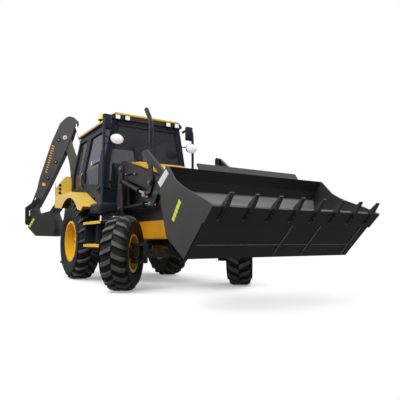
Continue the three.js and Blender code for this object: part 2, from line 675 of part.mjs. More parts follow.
function bucketTooth(y) {
  const edge = [4892, 1040];
  const along = 45.2 * DEG;
  const outline = [[-170, -34], [0, -34], [150, -6], [150, 6], [0, 26], [-10, 26], [-10, 0], [-170, -2]];
  return sidePlate(outline.map(([a, b]) => [
    edge[0] + a * Math.cos(along) - b * Math.sin(along),
    edge[1] + a * Math.sin(along) + b * Math.cos(along)]), y - TOOTH_HALF, y + TOOTH_HALF);
}

function frontBucket() {
  const shell = cut(
    sidePlate(BUCKET_SIDE, -BUCKET_HALF, BUCKET_HALF),
    sidePlate(BUCKET_HOLLOW, -BUCKET_HALF + BUCKET_SKIN, BUCKET_HALF - BUCKET_SKIN));
  const guard = sidePlate([[3980, 1502], [3998, 1505], [4004, 1517], [3950, 1600], [3933, 1589],
    [3986, 1511]], -GUARD_HALF, GUARD_HALF);
  const edge = sidePlate([[4889, 1043], [4737, 890], [4754, 873], [4907, 1025]],
    -BUCKET_HALF - 2, BUCKET_HALF + 2);
  const hinge = [[4030, 690], [3840, 760], [3770, 820], [3775, 890], [3860, 1000], [3900, 1060]];
  const tiltEar = [[4030, 690], [3840, 760], [3770, 820], [3740, 900], [3625, 1030], [3640, 1100],
    [3700, 1120], [3880, 1210], [3900, 1060]];
  const ears = bothSides((side) => join(
    sidePlate(hinge, ...reach(side, 485, 503)),
    sidePlate(tiltEar, ...reach(side, 597, 615)),
    sidePlate(tiltEar, ...reach(side, 700, 718)),
    pin(ARM_TIP, 30, ...reach(side, 485, 630))));
  const teeth = [];
  const firstTooth = BUCKET_HALF - TOOTH_MARGIN;
  for (let i = 0; i < TEETH; i += 1) {
    teeth.push(bucketTooth(firstTooth * (2 * i / (TEETH - 1) - 1)));
  }
  return join(shell, guard, edge, ears, ...teeth);
}

// ---------- backhoe ----------

const CARRIAGE_DEPTH = 104;
const CARRIAGE_FOOT = 45;   // the lower plate is thin, because the folded bucket passes behind it

function carriage() {
  const face = REAR_FACE - SEAT_GAP - SWING_X;
  const plate = join(
    box(face - CARRIAGE_DEPTH, face, -300, 300, 700, 1135),
    box(face - CARRIAGE_FOOT, face, -300, 300, 400, 710));
  const lugs = [LUG.low, LUG.high].map(([low, high]) => join(
    bar([0, 0, low], [0, 0, high], LUG.radius),
    box(0, face - 100, -LUG.radius + 10, LUG.radius - 10, low, high)));
  return join(plate, ...lugs, bar([0, 0, LUG.low[0]], [0, 0, LUG.high[1]], 45));
}

const POST_PLATE = [BOOM_HALF + 8, BOOM_HALF + 32];

function swingPost() {
  const cheek = [[200, 770], [340, 755], [440, 850], [460, 960], [410, 1040],
    [250, 1190], [-20, 1310], [-120, 1315], [-170, 1250],
    [-160, 1112], [130, 1112], [130, 1028], [-92, 1028], [-92, 857], [130, 857]];
  const column = bar([0, 0, LUG.low[1] + RUN_GAP], [0, 0, LUG.high[0] - RUN_GAP], 95);
  const width = POST_PLATE[1];
  return cut(
    join(
      bothSides((side) => sidePlate(cheek, ...reach(side, ...POST_PLATE))),
      bothSides((side) => box(-60, 95, ...reach(side, 40, POST_PLATE[0] + 5), 870, 1015)),
      column,
      pin(HOE_FOOT, 35, -width, width),
      pin(BOOM_RAM_BASE, 28, -width, width)),
    bar([0, 0, 600], [0, 0, 1200], 45 + PIN_GAP, 24));
}

const BOOM_SIDE = [[415, 985], [372, 1500], [278, 2000], [265, 2250], [300, 2500], [372, 2750], [492, 3075],
  [415, 3200], [335, 3160], [212, 2790], [112, 2560], [45, 2350], [35, 2100], [60, 1700], [170, 1200],
  [203, 930], [300, 850]];

const BOOM_SLOT = 56;

function boom() {
  const ears = bothSides((side) => sidePlate([[80, 1580], [-290, 1795], [-370, 1830], [-370, 1880],
    [-325, 1905], [60, 2080]], ...reach(side, 56, BOOM_HALF)));
  const slot = sidePlate([[-400, 850], [240, 850], [240, 2520], [-400, 2520]],
    -BOOM_SLOT, BOOM_SLOT);
  const foot = pin(HOE_FOOT, 100, -BOOM_HALF, BOOM_HALF);
  return cut(
    join(
      cut(join(sidePlate(BOOM_SIDE, -BOOM_HALF, BOOM_HALF), foot), slot),
      pin(HOE_ELBOW, 92, -BOOM_HALF, BOOM_HALF),
      ears, pin(DIPPER_RAM_BASE, 26, -BOOM_HALF, BOOM_HALF)),
    pin(HOE_FOOT, 35 + PIN_GAP, -200, 200),
    pin(HOE_ELBOW, 40 + PIN_GAP, -200, 200));
}

const DIPPER_SIDE = [[165, 3545], [215, 3592], [320, 3620], [400, 3590], [545, 3440], [720, 3010],
  [975, 2160],
  [1062, 1720], [1060, 1615], [1106, 1590], [1140, 1480], [1140, 1340], [1060, 1278], [985, 1320],
  [1010, 1460], [800, 1880], [430, 2700], [272, 3100], [232, 3240], [155, 3470]];

function dipper() {
  const inside = DIPPER_HALF - DIPPER_PLATE;
  const head = sidePlate([[380, 2690], [740, 2975], [760, 3700], [0, 3700], [0, 2690]], -inside, inside);
  const channel = sidePlate([[520, 3120], [925, 1960], [925, 1800], [1060, 1640],
    [1130, 1500], [1400, 1500], [1400, 3120]], -56, 56);
  const tip = bothSides((side) => sidePlate([[1300, 1780], [1040, 1740], [1025, 1600], [1010, 1490],
    [860, 1470], [860, 1150], [1300, 1150]],
    ...reach(side, BOOM_HALF, 200)));
  return cut(
    join(
      cut(sidePlate(DIPPER_SIDE, -DIPPER_HALF, DIPPER_HALF), head, channel, tip),
      pin(HOE_ELBOW, 40, -DIPPER_HALF, DIPPER_HALF),
      pin(HOE_RAM_BASE, 26, -DIPPER_HALF, DIPPER_HALF)),
    pin(HOE_TIP, 30 + PIN_GAP, -200, 200),
    pin(HOE_LEVER_PIVOT, 28 + PIN_GAP, -200, 200));
}

const HOE_SHELL = [[620, 1380], [545, 1180], [520, 960], [560, 830], [620, 805], [950, 815], [1130, 1010],
  [960, 1290]];
const HOE_HOLLOW = [[640, 1374], [566, 1176], [542, 962], [578, 846], [628, 827], [941, 836], [1104, 1013],
  [938, 1284], [900, 1500], [620, 1500]];
const EAR_PLATE = [BOOM_HALF + 6, BOOM_HALF + 26];
const LEVER_CHEEK = [DIPPER_HALF + 4, DIPPER_HALF + 18];
const LINK_CHEEK = [LEVER_CHEEK[1] + RUN_GAP, LEVER_CHEEK[1] + RUN_GAP + 14];

function hoeTooth(y) {
  return sidePlate([[600, 1330], [625, 1320], [646, 1374], [590, 1470],
    [490, 1600], [482, 1592], [560, 1440], [606, 1384]], y - 28, y + 28);
}

function hoeBucket() {
  const shell = cut(
    sidePlate(HOE_SHELL, -HOE_BUCKET_HALF, HOE_BUCKET_HALF),
    sidePlate(HOE_HOLLOW, -HOE_BUCKET_HALF + 18, HOE_BUCKET_HALF - 18));
  const ears = bothSides((side) => join(
    strap([[1010, 1180, 55], [...HOE_TIP, 62]], ...reach(side, ...EAR_PLATE)),
    strap([[1060, 1080, 45], [...HOE_LINK_PIN, 52], [...HOE_TIP, 62]], ...reach(side, ...EAR_PLATE))));
  const teeth = [];
  for (let i = 0; i < HOE_TEETH; i += 1) {
    teeth.push(hoeTooth(-HOE_BUCKET_HALF + 40 + i * (2 * HOE_BUCKET_HALF - 80) / (HOE_TEETH - 1)));
  }
  return cut(
    join(shell, ears, pin(HOE_TIP, 30, -EAR_PLATE[1], EAR_PLATE[1]), ...teeth),
    pin(HOE_LINK_PIN, 25 + PIN_GAP, -200, 200));
}

function hoeLever() {
  return join(
    bothSides((side) => strap([[...HOE_LEVER_PIVOT, 50], [...HOE_LEVER_EYE, 46]],
      ...reach(side, ...LEVER_CHEEK))),
    pin(HOE_LEVER_PIVOT, 28, -LEVER_CHEEK[1], LEVER_CHEEK[1]));
}

function hoeLink() {
  return join(
    bothSides((side) => strap([[...HOE_LEVER_EYE, 46], [...HOE_LINK_PIN, 46]],
      ...reach(side, ...LINK_CHEEK))),
    pin(HOE_LINK_PIN, 25, -LINK_CHEEK[1], LINK_CHEEK[1]));
}

// ---------- assembly ----------

node(machine, 'chassis_frame', chassisFrame(), paint(PAINT.yellow, 0.5));
node(machine, 'front_axle', frontAxle(), paint(PAINT.dark, 0.6));
node(machine, 'rear_axle', rearAxle(), paint(PAINT.dark, 0.6));
node(machine, 'engine_block',
  box(ENGINE.back, ENGINE.front, -ENGINE.half, ENGINE.half, ENGINE.bottom, ENGINE.top),
  paint(PAINT.dark, 0.7, 0.4));
node(machine, 'cab_frame', cabFrame(), paint(PAINT.cab, 0.45, 0.3));
node(machine, 'cab_roof', cabRoof(), paint(PAINT.yellow, 0.4));
node(machine, 'windscreen',
  crossPlate(grown(WINDSCREEN, -SEAT_GAP), CAB.front - 26, CAB.front - 26 + GLASS),
  paint(PAINT.glass, 0.1));
node(machine, 'rear_window',
  crossPlate(grown(REAR_WINDOW, -SEAT_GAP), CAB.back + 20, CAB.back + 20 + GLASS),
  paint(PAINT.glass, 0.1));
node(machine, 'driver_seat', driverSeat(), paint(PAINT.seat, 0.8, 0));
node(machine, 'steering_console', steeringConsole(), paint(PAINT.seat, 0.7, 0));
node(machine, 'hood', hood(), paint(PAINT.yellow, 0.4));
node(machine, 'exhaust_stack', exhaustStack(), paint(PAINT.steel, 0.4, 0.7));
node(machine, 'loader_arms', loaderArms(), paint(PAINT.charcoal, 0.5));
node(machine, 'front_bucket', frontBucket(), paint(PAINT.charcoal, 0.5));

const RAM = {
  lift: { barrel: 45, rod: 28, eyeRadius: 46, eyeHalf: 14, baseHalf: 38, pin: 30, tongue: 150,
    barrelLength: 895 },
  tilt: { barrel: 36, rod: 22, eyeRadius: 44, eyeHalf: 36, baseHalf: 36, pin: 28 },
  boom: { barrel: 45, rod: 28, eyeRadius: 42, eyeHalf: 30, baseHalf: 70, pin: 28 },
  dipper: { barrel: 42, rod: 26, eyeRadius: 42, eyeHalf: 40, baseHalf: 50, pin: 26 },
  hoe: { barrel: 40, rod: 26, eyeRadius: 40, eyeHalf: 40, baseHalf: 80, pin: 26, barrelLength: 930 },
};

for (const [word, side] of [['left', 1], ['right', -1]]) {
  node(machine, `${word}_rear_fender`, fender(side), paint(PAINT.yellow, 0.4));
  node(machine, `${word}_step_box`, stepBox(side), paint(PAINT.cab, 0.5));
  node(machine, `${word}_door`, door(side), paint(PAINT.cab, 0.45, 0.3));
  node(machine, `${word}_door_glass`, doorGlass(side), paint(PAINT.glass, 0.1));
  node(machine, `${word}_tilt_lever`, tiltLever(side), paint(PAINT.dark, 0.5));
  node(machine, `${word}_tilt_link`, tiltLink(side), paint(PAINT.dark, 0.5));
  ram(machine, `${word}_lift_ram`, LIFT_BASE, LIFT_EYE, LIFT_RANGE, side * ARM_CENTRE, RAM.lift);
  ram(machine, `${word}_tilt_ram`, TILT_BASE, LEVER_FOOT, TILT_RANGE, side * TILT_CENTRE, RAM.tilt);
  node(machine, `${word}_stabilizer_leg`, stabilizerLeg(side), paint(PAINT.charcoal, 0.5));

  const rear = pivot(machine, [0, REAR_TYRE.radius]);
  wheel(rear, `${word}_rear`, REAR_TYRE, REAR_STUB, REAR_DISC, side * REAR_TRACK / 2, side);

  const steered = pivot(machine, [WHEELBASE, FRONT_TYRE.radius], side * KINGPIN_Y);
  steered.rotation.z = STEER_ANGLE;
  const turned = new THREE.Group();
  turned.rotation.z = side > 0 ? 0 : Math.PI;
  steered.add(turned);
  node(turned, `${word}_steering_knuckle`, knuckle(), paint(PAINT.dark, 0.6));
  wheel(steered, `${word}_front`, FRONT_TYRE, FRONT_STUB, FRONT_DISC, side * KINGPIN_OFFSET, side);
}

const shift = pivot(machine, [SWING_X, 0], SIDE_SHIFT);
node(shift, 'side_shift_carriage', carriage(), paint(PAINT.charcoal, 0.5));

const swing = new THREE.Group();
swing.rotation.z = Math.PI + SWING_ANGLE;
shift.add(swing);
node(swing, 'swing_post', swingPost(), paint(PAINT.charcoal, 0.5));
node(swing, 'backhoe_boom', boom(), paint(PAINT.boom, 0.5));
node(swing, 'dipper', dipper(), paint(PAINT.charcoal, 0.5));
node(swing, 'backhoe_bucket', hoeBucket(), paint(PAINT.dark, 0.5));
node(swing, 'bucket_lever', hoeLever(), paint(PAINT.dark, 0.5));
node(swing, 'bucket_link', hoeLink(), paint(PAINT.dark, 0.5));
ram(swing, 'boom_ram', BOOM_RAM_BASE, BOOM_RAM_EYE, BOOM_RAM_RANGE, 0, RAM.boom);
ram(swing, 'dipper_ram', DIPPER_RAM_BASE, HOE_TAIL, DIPPER_RAM_RANGE, 0, RAM.dipper);
ram(swing, 'bucket_ram', HOE_RAM_BASE, HOE_LEVER_EYE, HOE_RAM_RANGE, 0, RAM.hoe);

const group = new THREE.Group();
group.add(machine);
group.updateMatrixWorld(true);
const bounds = new THREE.Box3().setFromObject(group, true);
machine.position.set(-(bounds.min.x + bounds.max.x) / 2, -(bounds.min.y + bounds.max.y) / 2, -bounds.min.z);
group.updateMatrixWorld(true);

export default group;
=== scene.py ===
import math

import bmesh
import bpy
from mathutils import Matrix, Vector


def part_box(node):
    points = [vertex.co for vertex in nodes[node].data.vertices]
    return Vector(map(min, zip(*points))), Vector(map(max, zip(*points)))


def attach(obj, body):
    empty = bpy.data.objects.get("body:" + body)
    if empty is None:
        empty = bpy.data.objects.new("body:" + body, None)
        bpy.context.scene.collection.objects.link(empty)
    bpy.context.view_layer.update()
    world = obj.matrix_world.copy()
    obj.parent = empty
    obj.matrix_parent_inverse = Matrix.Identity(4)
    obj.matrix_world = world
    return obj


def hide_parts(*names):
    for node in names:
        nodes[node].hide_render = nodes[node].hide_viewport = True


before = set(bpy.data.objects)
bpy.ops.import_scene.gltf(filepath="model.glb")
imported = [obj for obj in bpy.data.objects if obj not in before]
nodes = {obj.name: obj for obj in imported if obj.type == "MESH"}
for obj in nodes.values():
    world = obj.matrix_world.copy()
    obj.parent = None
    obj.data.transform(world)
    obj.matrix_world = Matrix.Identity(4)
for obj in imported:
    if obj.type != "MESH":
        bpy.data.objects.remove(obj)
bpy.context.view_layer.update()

# Places are written in metres from the ground under the middle of the rear axle.
axleLow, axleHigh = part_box("rear_axle")
rearAxlePlace = Vector(((axleLow.x + axleHigh.x) / 2, (axleLow.y + axleHigh.y) / 2, 0))
toFrame = Matrix.Translation(rearAxlePlace)
sides = {"left": 1, "right": -1}


class Signal:
    # a socket that can be added, multiplied and clamped
    def __init__(self, look, socket):
        self.look = look
        self.socket = socket

    def math(self, operation, first, second=0.0):
        return self.look.add("Math", {"operation": operation}, {0: first, 1: second})

    def __add__(self, other):
        return self.math("ADD", self, other)

    def __radd__(self, other):
        return self.math("ADD", other, self)

    def __sub__(self, other):
        return self.math("SUBTRACT", self, other)

    def __rsub__(self, other):
        return self.math("SUBTRACT", other, self)

    def __mul__(self, other):
        return self.math("MULTIPLY", self, other)

    def __rmul__(self, other):
        return self.math("MULTIPLY", other, self)

    def above(self, level):
        return self.math("GREATER_THAN", self, level)

    def size(self):
        return self.math("ABSOLUTE", self)

    def either(self, other):
        # the larger of the two
        return self.math("MAXIMUM", self, other)

    def ramp(self, low, high):
        # 0 at low, 1 at high, held between them
        return self.look.add("MapRange", {"clamp": True}, {0: self, 1: low, 2: high, 3: 0.0, 4: 1.0})


class Look:
    # one material and the nodes that make it
    def __init__(self, name, **fixed):
        self.material = bpy.data.materials.new(name)
        self.material.use_nodes = True
        self.tree = self.material.node_tree
        self.shader = self.tree.nodes["Principled BSDF"]
        self.place = self.add("TexCoord", {}, {}, "Object")
        for socket, value in fixed.items():
            self.shader.inputs[socket.replace("_", " ")].default_value = value

    def add(self, kind, settings, inputs, output=0):
        node = self.tree.nodes.new("ShaderNode" + kind)
        for name, value in settings.items():
            setattr(node, name, value)
        for key, value in inputs.items():
            self.link(node.inputs[key], value)
        return Signal(self, node.outputs[output])

    def link(self, socket, value):
        if isinstance(value, Signal):
            self.tree.links.new(value.socket, socket)
        elif isinstance(value, tuple) and len(value) == 3 and socket.type == "RGBA":
            socket.default_value = (*value, 1.0)
        else:
            socket.default_value = value

    def noise(self, scale, detail=3.0, rough=0.55, stretch=(1, 1, 1)):
        spot = self.add("Mapping", {}, {"Vector": self.place, "Scale": stretch})
        values = {"Vector": spot, "Scale": scale, "Detail": detail, "Roughness": rough}
        return self.add("TexNoise", {}, values)

    def bands(self, axis, scale):
        return self.add("TexWave", {"wave_type": "BANDS", "bands_direction": axis},
                        {"Vector": self.place, "Scale": scale})

    def glow(self, strength):
        return self.add("Emission", {}, {"Color": (1.0, 1.0, 1.0), "Strength": strength})

    def part(self, axis):
        return self.add("SeparateXYZ", {}, {0: self.place}, axis)

    def mix(self, amount, first, second):
        return self.add("Mix", {"data_type": "RGBA"}, {"Factor": amount, 6: first, 7: second}, 2)

    def set(self, **values):
        for name, value in values.items():
            self.link(self.shader.inputs[name.replace("_", " ")], value)
        return self

    def fading(self, amount, colour, share):
        # the colour, with patches of a darker shade of it
        return self.mix(amount, shaded(colour, share), colour)

    def bump(self, height, strength, distance):
        normal = self.add("Bump", {}, {"Height": height, "Strength": strength, "Distance": distance})
        return self.set(Normal=normal)


def shaded(colour, share):
    # the same hue, darker or paler
    return tuple(c * share for c in colour)


def paintLook(name, colour, rough, dust, chips=0.12, coat=0.3, shine=0.5):
    # sprayed paint with orange peel, faint fading, dust near the ground and small chips
    look = Look(name, Coat_Roughness=0.2, Specular_IOR_Level=shine)
    broad = look.noise(1.3, 4.0)
    fine = look.noise(26.0, 5.0, 0.6)
    fresh = tuple(min(c, 1.0) for c in shaded(colour, 1.1))
    faded = look.mix(broad.ramp(0.35, 0.7), shaded(colour, 0.86), fresh)
    low = 1.0 - look.part("Z").ramp(0.15, 1.3)
    dusty = (low * 0.8 + 0.2) * fine.ramp(0.42, 0.75) * dust
    body = look.mix(dusty, faded, (0.30, 0.26, 0.21))
    chip = look.noise(46.0, 2.0, 0.4).ramp(0.735, 0.76) * chips
    look.set(Base_Color=look.mix(chip, body, (0.10, 0.09, 0.085)),
             Roughness=rough + broad * 0.14 + dusty * 0.35, Coat_Weight=coat - dusty * coat)
    return look.bump(look.noise(420.0, 2.0) * 0.5 + fine * 0.5 - chip * 2.0, 0.12, 0.0015)


chassisZones = {"ahead": 0.8, "towerBack": 0.9, "towerHalf": 0.41, "towerLow": 0.98, "rearEnd": -1.15,
                "nose": 2.66, "mountLow": 1.02, "axleTop": 0.742}


def chassisLook(colour, charcoal):
    # yellow front frame below, black mounts above, charcoal towers and rear frame, black nose
    zone = chassisZones
    look = Look("chassisPaint", Coat_Roughness=0.25, Specular_IOR_Level=0.35)
    x = look.part("X") - rearAxlePlace.x
    y = look.part("Y") - rearAxlePlace.y
    z = look.part("Z")
    broad = look.noise(1.6, 4.0)
    fine = look.noise(28.0, 5.0, 0.6)
    ahead = x.above(zone["ahead"])
    tower = y.size().above(zone["towerHalf"]) * z.above(zone["towerLow"]) * x.above(zone["towerBack"])
    paint = look.mix(z.above(zone["mountLow"]) * ahead, colour, (0.014, 0.014, 0.015))
    paint = look.mix((1.0 - z.above(zone["axleTop"])) * ahead, paint, (0.010, 0.010, 0.011))
    paint = look.mix(1.0 - x.above(zone["rearEnd"]), paint, charcoal)
    paint = look.mix(tower, paint, charcoal)
    paint = look.mix(x.above(zone["nose"]), paint, (0.012, 0.012, 0.013))
    paint = look.mix(broad.ramp(0.35, 0.8) * 0.25, paint, (0.05, 0.02, 0.005))
    low = 1.0 - z.ramp(0.2, 1.0)
    dusty = (low * 0.8 + 0.1) * fine.ramp(0.45, 0.8) * 0.3
    look.set(Base_Color=look.mix(dusty, paint, (0.20, 0.17, 0.14)),
             Roughness=0.40 + broad * 0.12 + dusty * 0.3, Coat_Weight=0.2)
    return look.bump(look.noise(380.0, 2.0) * 0.5 + fine * 0.5, 0.12, 0.0015)


hoodZones = {"lineTop": 1.86, "lineStart": 1.0, "lineFall": 0.19, "nose": 2.62}


def hoodLook(colour):
    # yellow top, black louvred sides and black nose; the line between them falls towards the front
    zone = hoodZones
    look = Look("hoodPaint", Coat_Roughness=0.15)
    x = look.part("X") - rearAxlePlace.x
    z = look.part("Z")
    broad = look.noise(1.5, 4.0)
    fine = look.noise(24.0, 4.0, 0.6)
    line = zone["lineTop"] - (x - zone["lineStart"]).either(0.0) * zone["lineFall"]
    black = (1.0 - (z - line).above(0.0)).either(x.above(zone["nose"]))
    paint = look.fading(broad.ramp(0.3, 0.75), colour, 0.88)
    paint = look.mix(black, paint, (0.014, 0.014, 0.016))
    dusty = fine.ramp(0.5, 0.85) * 0.18
    look.set(Base_Color=look.mix(dusty, paint, (0.22, 0.19, 0.15)),
             Roughness=0.34 + broad * 0.12 + dusty, Coat_Weight=0.4)
    return look.bump(look.noise(400.0, 2.0) + fine * 0.4, 0.1, 0.0012)


roofZones = {"front": 0.952, "back": -0.985, "bandTop": 2.956, "lipLow": 2.9}


def roofLook(colour, dark):
    # yellow cap and side lips over dark bands, front and back, that carry the lamps
    zone = roofZones
    look = Look("roofPaint", Coat_Roughness=0.15)
    x = look.part("X") - rearAxlePlace.x
    z = look.part("Z")
    ends = x.above(zone["front"]).either(1.0 - x.above(zone["back"]))
    band = (ends * (1.0 - z.above(zone["bandTop"]))).either(1.0 - z.above(zone["lipLow"]))
    broad = look.noise(1.5, 4.0)
    paint = look.fading(broad.ramp(0.3, 0.75), colour, 0.88)
    look.set(Base_Color=look.mix(band, paint, dark), Roughness=0.32 + broad * 0.12, Coat_Weight=0.4)
    return look.bump(look.noise(400.0, 2.0), 0.1, 0.0012)


def fenderLook(colour):
    # gloss outside; the faces that look down get a painted shade, dark red-brown for the orange paint in
    # shadow, with darker blotches
    look = Look("fenderPaint", Coat_Roughness=0.15)
    facing = look.add("SeparateXYZ", {}, {0: look.add("NewGeometry", {}, {}, "Normal")}, "Z")
    # mask of the faces that look down, where the painted shade goes
    under = 1.0 - facing.ramp(-0.75, -0.35)
    broad = look.noise(1.8, 4.0)
    undersideBlotches = look.noise(16.0, 6.0, 0.65)
    top = look.fading(broad.ramp(0.3, 0.75), colour, 0.93)
    # painted shade: red-brown and darker brown blotches stand for the orange paint in shadow
    below = look.mix(undersideBlotches.ramp(0.4, 0.7), (0.30, 0.075, 0.02), (0.12, 0.07, 0.045))
    look.set(Base_Color=look.mix(under, top, below), Roughness=0.3 + under * 0.45 + broad * 0.1,
             Coat_Weight=0.5 - under * 0.5)
    return look.bump(look.noise(400.0, 2.0) + undersideBlotches * under * 2.0, 0.12, 0.0015)


scourZone = {"half": 1.18, "front": 4.80, "back": 3.86, "low": 1.255, "high": 1.285}


def bucketLook(name, colour, scour=0.0):
    # charcoal paint; where soil slides over the inner face the steel is bare and paler; faces that look down
    # carry a painted shade
    zone = scourZone
    look = Look(name, Coat_Roughness=0.35, Specular_IOR_Level=0.3)
    x = look.part("X") - rearAxlePlace.x
    y = look.part("Y") - rearAxlePlace.y
    z = look.part("Z")
    facing = look.add("TexCoord", {}, {}, "Normal")
    ahead = look.add("SeparateXYZ", {}, {0: facing}, "X")
    upward = look.add("SeparateXYZ", {}, {0: facing}, "Z")
    broad = look.noise(2.2, 5.0, 0.6)
    streak = look.noise(9.0, 4.0, 0.6, (1.0, 0.12, 1.0))
    fine = look.noise(34.0, 5.0, 0.65)
    within = (zone["half"] - y.size()).above(0.0) * (1.0 - x.above(zone["front"])) * x.above(zone["back"])
    inside = within * upward.above(-0.5) * ahead.above(-0.2)
    worked = inside * (1.0 - z.ramp(zone["low"], zone["high"])) * scour
    body = look.mix(broad.ramp(0.3, 0.75), shaded(colour, 0.85), shaded(colour, 1.15))
    body = look.mix(fine.ramp(0.55, 0.9) * 0.15, body, (0.16, 0.15, 0.135))
    # painted shade: faces that look down are darkened halfway towards black
    paintedUndersideShade = (-0.55 - upward).ramp(0.0, 0.12) * 0.5
    body = look.mix(paintedUndersideShade, body, (0.004, 0.004, 0.004))
    bare = look.mix(streak.ramp(0.35, 0.7), (0.36, 0.36, 0.355), (0.56, 0.56, 0.55))
    look.set(Base_Color=look.mix(worked, body, bare), Metallic=worked * 0.25,
             Roughness=0.46 + fine * 0.2 - worked * 0.05, Coat_Weight=0.1 - worked * 0.1)
    return look.bump(streak * 0.6 + fine * 0.5, 0.16, 0.002)


def rubberLook(name, shade, scale):
    # black rubber; the crest attribute marks the tops of tread bars, which are scuffed paler
    look = Look(name, Specular_IOR_Level=0.35)
    crest = look.add("Attribute", {"attribute_name": "crest"}, {}, "Fac")
    grain = look.noise(60.0 * scale, 5.0, 0.65)
    soil = look.noise(7.0, 5.0, 0.6)
    body = look.mix(grain, (shade * 0.5,) * 3, (shade * 1.5,) * 3)
    scuffed = look.mix(soil.ramp(0.3, 0.75), (0.085, 0.084, 0.081), (0.165, 0.162, 0.157))
    body = look.mix(crest * (grain * 0.5 + 0.6), body, scuffed)
    look.set(Base_Color=look.mix(soil.ramp(0.5, 0.75) * 0.25, body, (0.06, 0.055, 0.05)),
             Roughness=0.62 + grain * 0.25)
    return look.bump(grain + soil * 0.6, 0.3, 0.002)


def steelLook(name, colour, rough, scratch):
    look = Look(name, Metallic=1.0)
    brushed = look.noise(90.0, 3.0, 0.6, (0.25, 1.0, 1.0))
    broad = look.noise(5.0, 4.0)
    look.set(Base_Color=look.fading(broad.ramp(0.35, 0.7), colour, 0.85),
             Roughness=rough + brushed * scratch + broad * 0.08)
    return look.bump(brushed, 0.06, 0.0006)


def glassLook(name, tint, alpha):
    look = Look(name, IOR=1.45)
    smear = look.noise(5.0, 4.0, 0.6, (1.0, 1.0, 0.4))
    dust = look.noise(40.0, 4.0, 0.6)
    look.set(Base_Color=look.mix(smear.ramp(0.4, 0.8), tint, shaded(tint, 1.5)),
             Roughness=0.04 + smear.ramp(0.5, 0.9) * 0.08, Coat_Weight=0.6,
             Alpha=alpha + smear * 0.1 + dust.ramp(0.6, 0.9) * 0.06)
    return look


def plasticLook(name, colour, rough=0.5, grainScale=220.0):
    look = Look(name)
    grain = look.noise(grainScale, 3.0, 0.6)
    broad = look.noise(4.0, 3.0)
    look.set(Base_Color=look.mix(broad, shaded(colour, 0.8), shaded(colour, 1.25)),
             Roughness=rough + grain * 0.15)
    return look.bump(grain, 0.2, 0.0008)


def clothLook(name, colour, threads=160.0):
    look = Look(name, Sheen_Weight=0.3)
    weave = look.bands("X", threads) * look.bands("Y", threads)
    look.set(Base_Color=look.mix(weave, shaded(colour, 0.6), shaded(colour, 1.5)),
             Roughness=0.85 + weave * 0.1)
    return look.bump(weave, 0.4, 0.001)


def lampLook(name, colour, glow, flutes=40.0):
    look = Look(name, IOR=1.5, Emission_Strength=glow)
    flute = look.bands("Y", flutes)
    dust = look.noise(30.0, 3.0)
    look.set(Base_Color=look.mix(flute * 0.5, colour, shaded(colour, 0.75)),
             Emission_Color=colour + (1.0,), Roughness=0.12 + dust * 0.1, Coat_Weight=0.8)
    return look.bump(flute, 0.3, 0.001)


def stripeLook(name, first, second, start, direction, pitch, share):
    # slanted bars of the second colour on the first, along one direction of the piece
    look = Look(name, Coat_Weight=0.3)
    start = tuple(rearAxlePlace + Vector(start))
    offset = look.add("VectorMath", {"operation": "SUBTRACT"}, {0: look.place, 1: start})
    along = look.add("VectorMath", {"operation": "DOT_PRODUCT"}, {0: offset, 1: direction}, "Value")
    bars = along.math("FRACT", along * (1.0 / pitch)).above(1.0 - share)
    worn = look.noise(60.0, 4.0).ramp(0.62, 0.8) * 0.4
    look.set(Base_Color=look.mix(worn, look.mix(bars, first, second), (0.12, 0.11, 0.1)),
             Roughness=0.38 + worn * 0.3)
    return look.bump(look.noise(300.0, 2.0), 0.1, 0.0005)


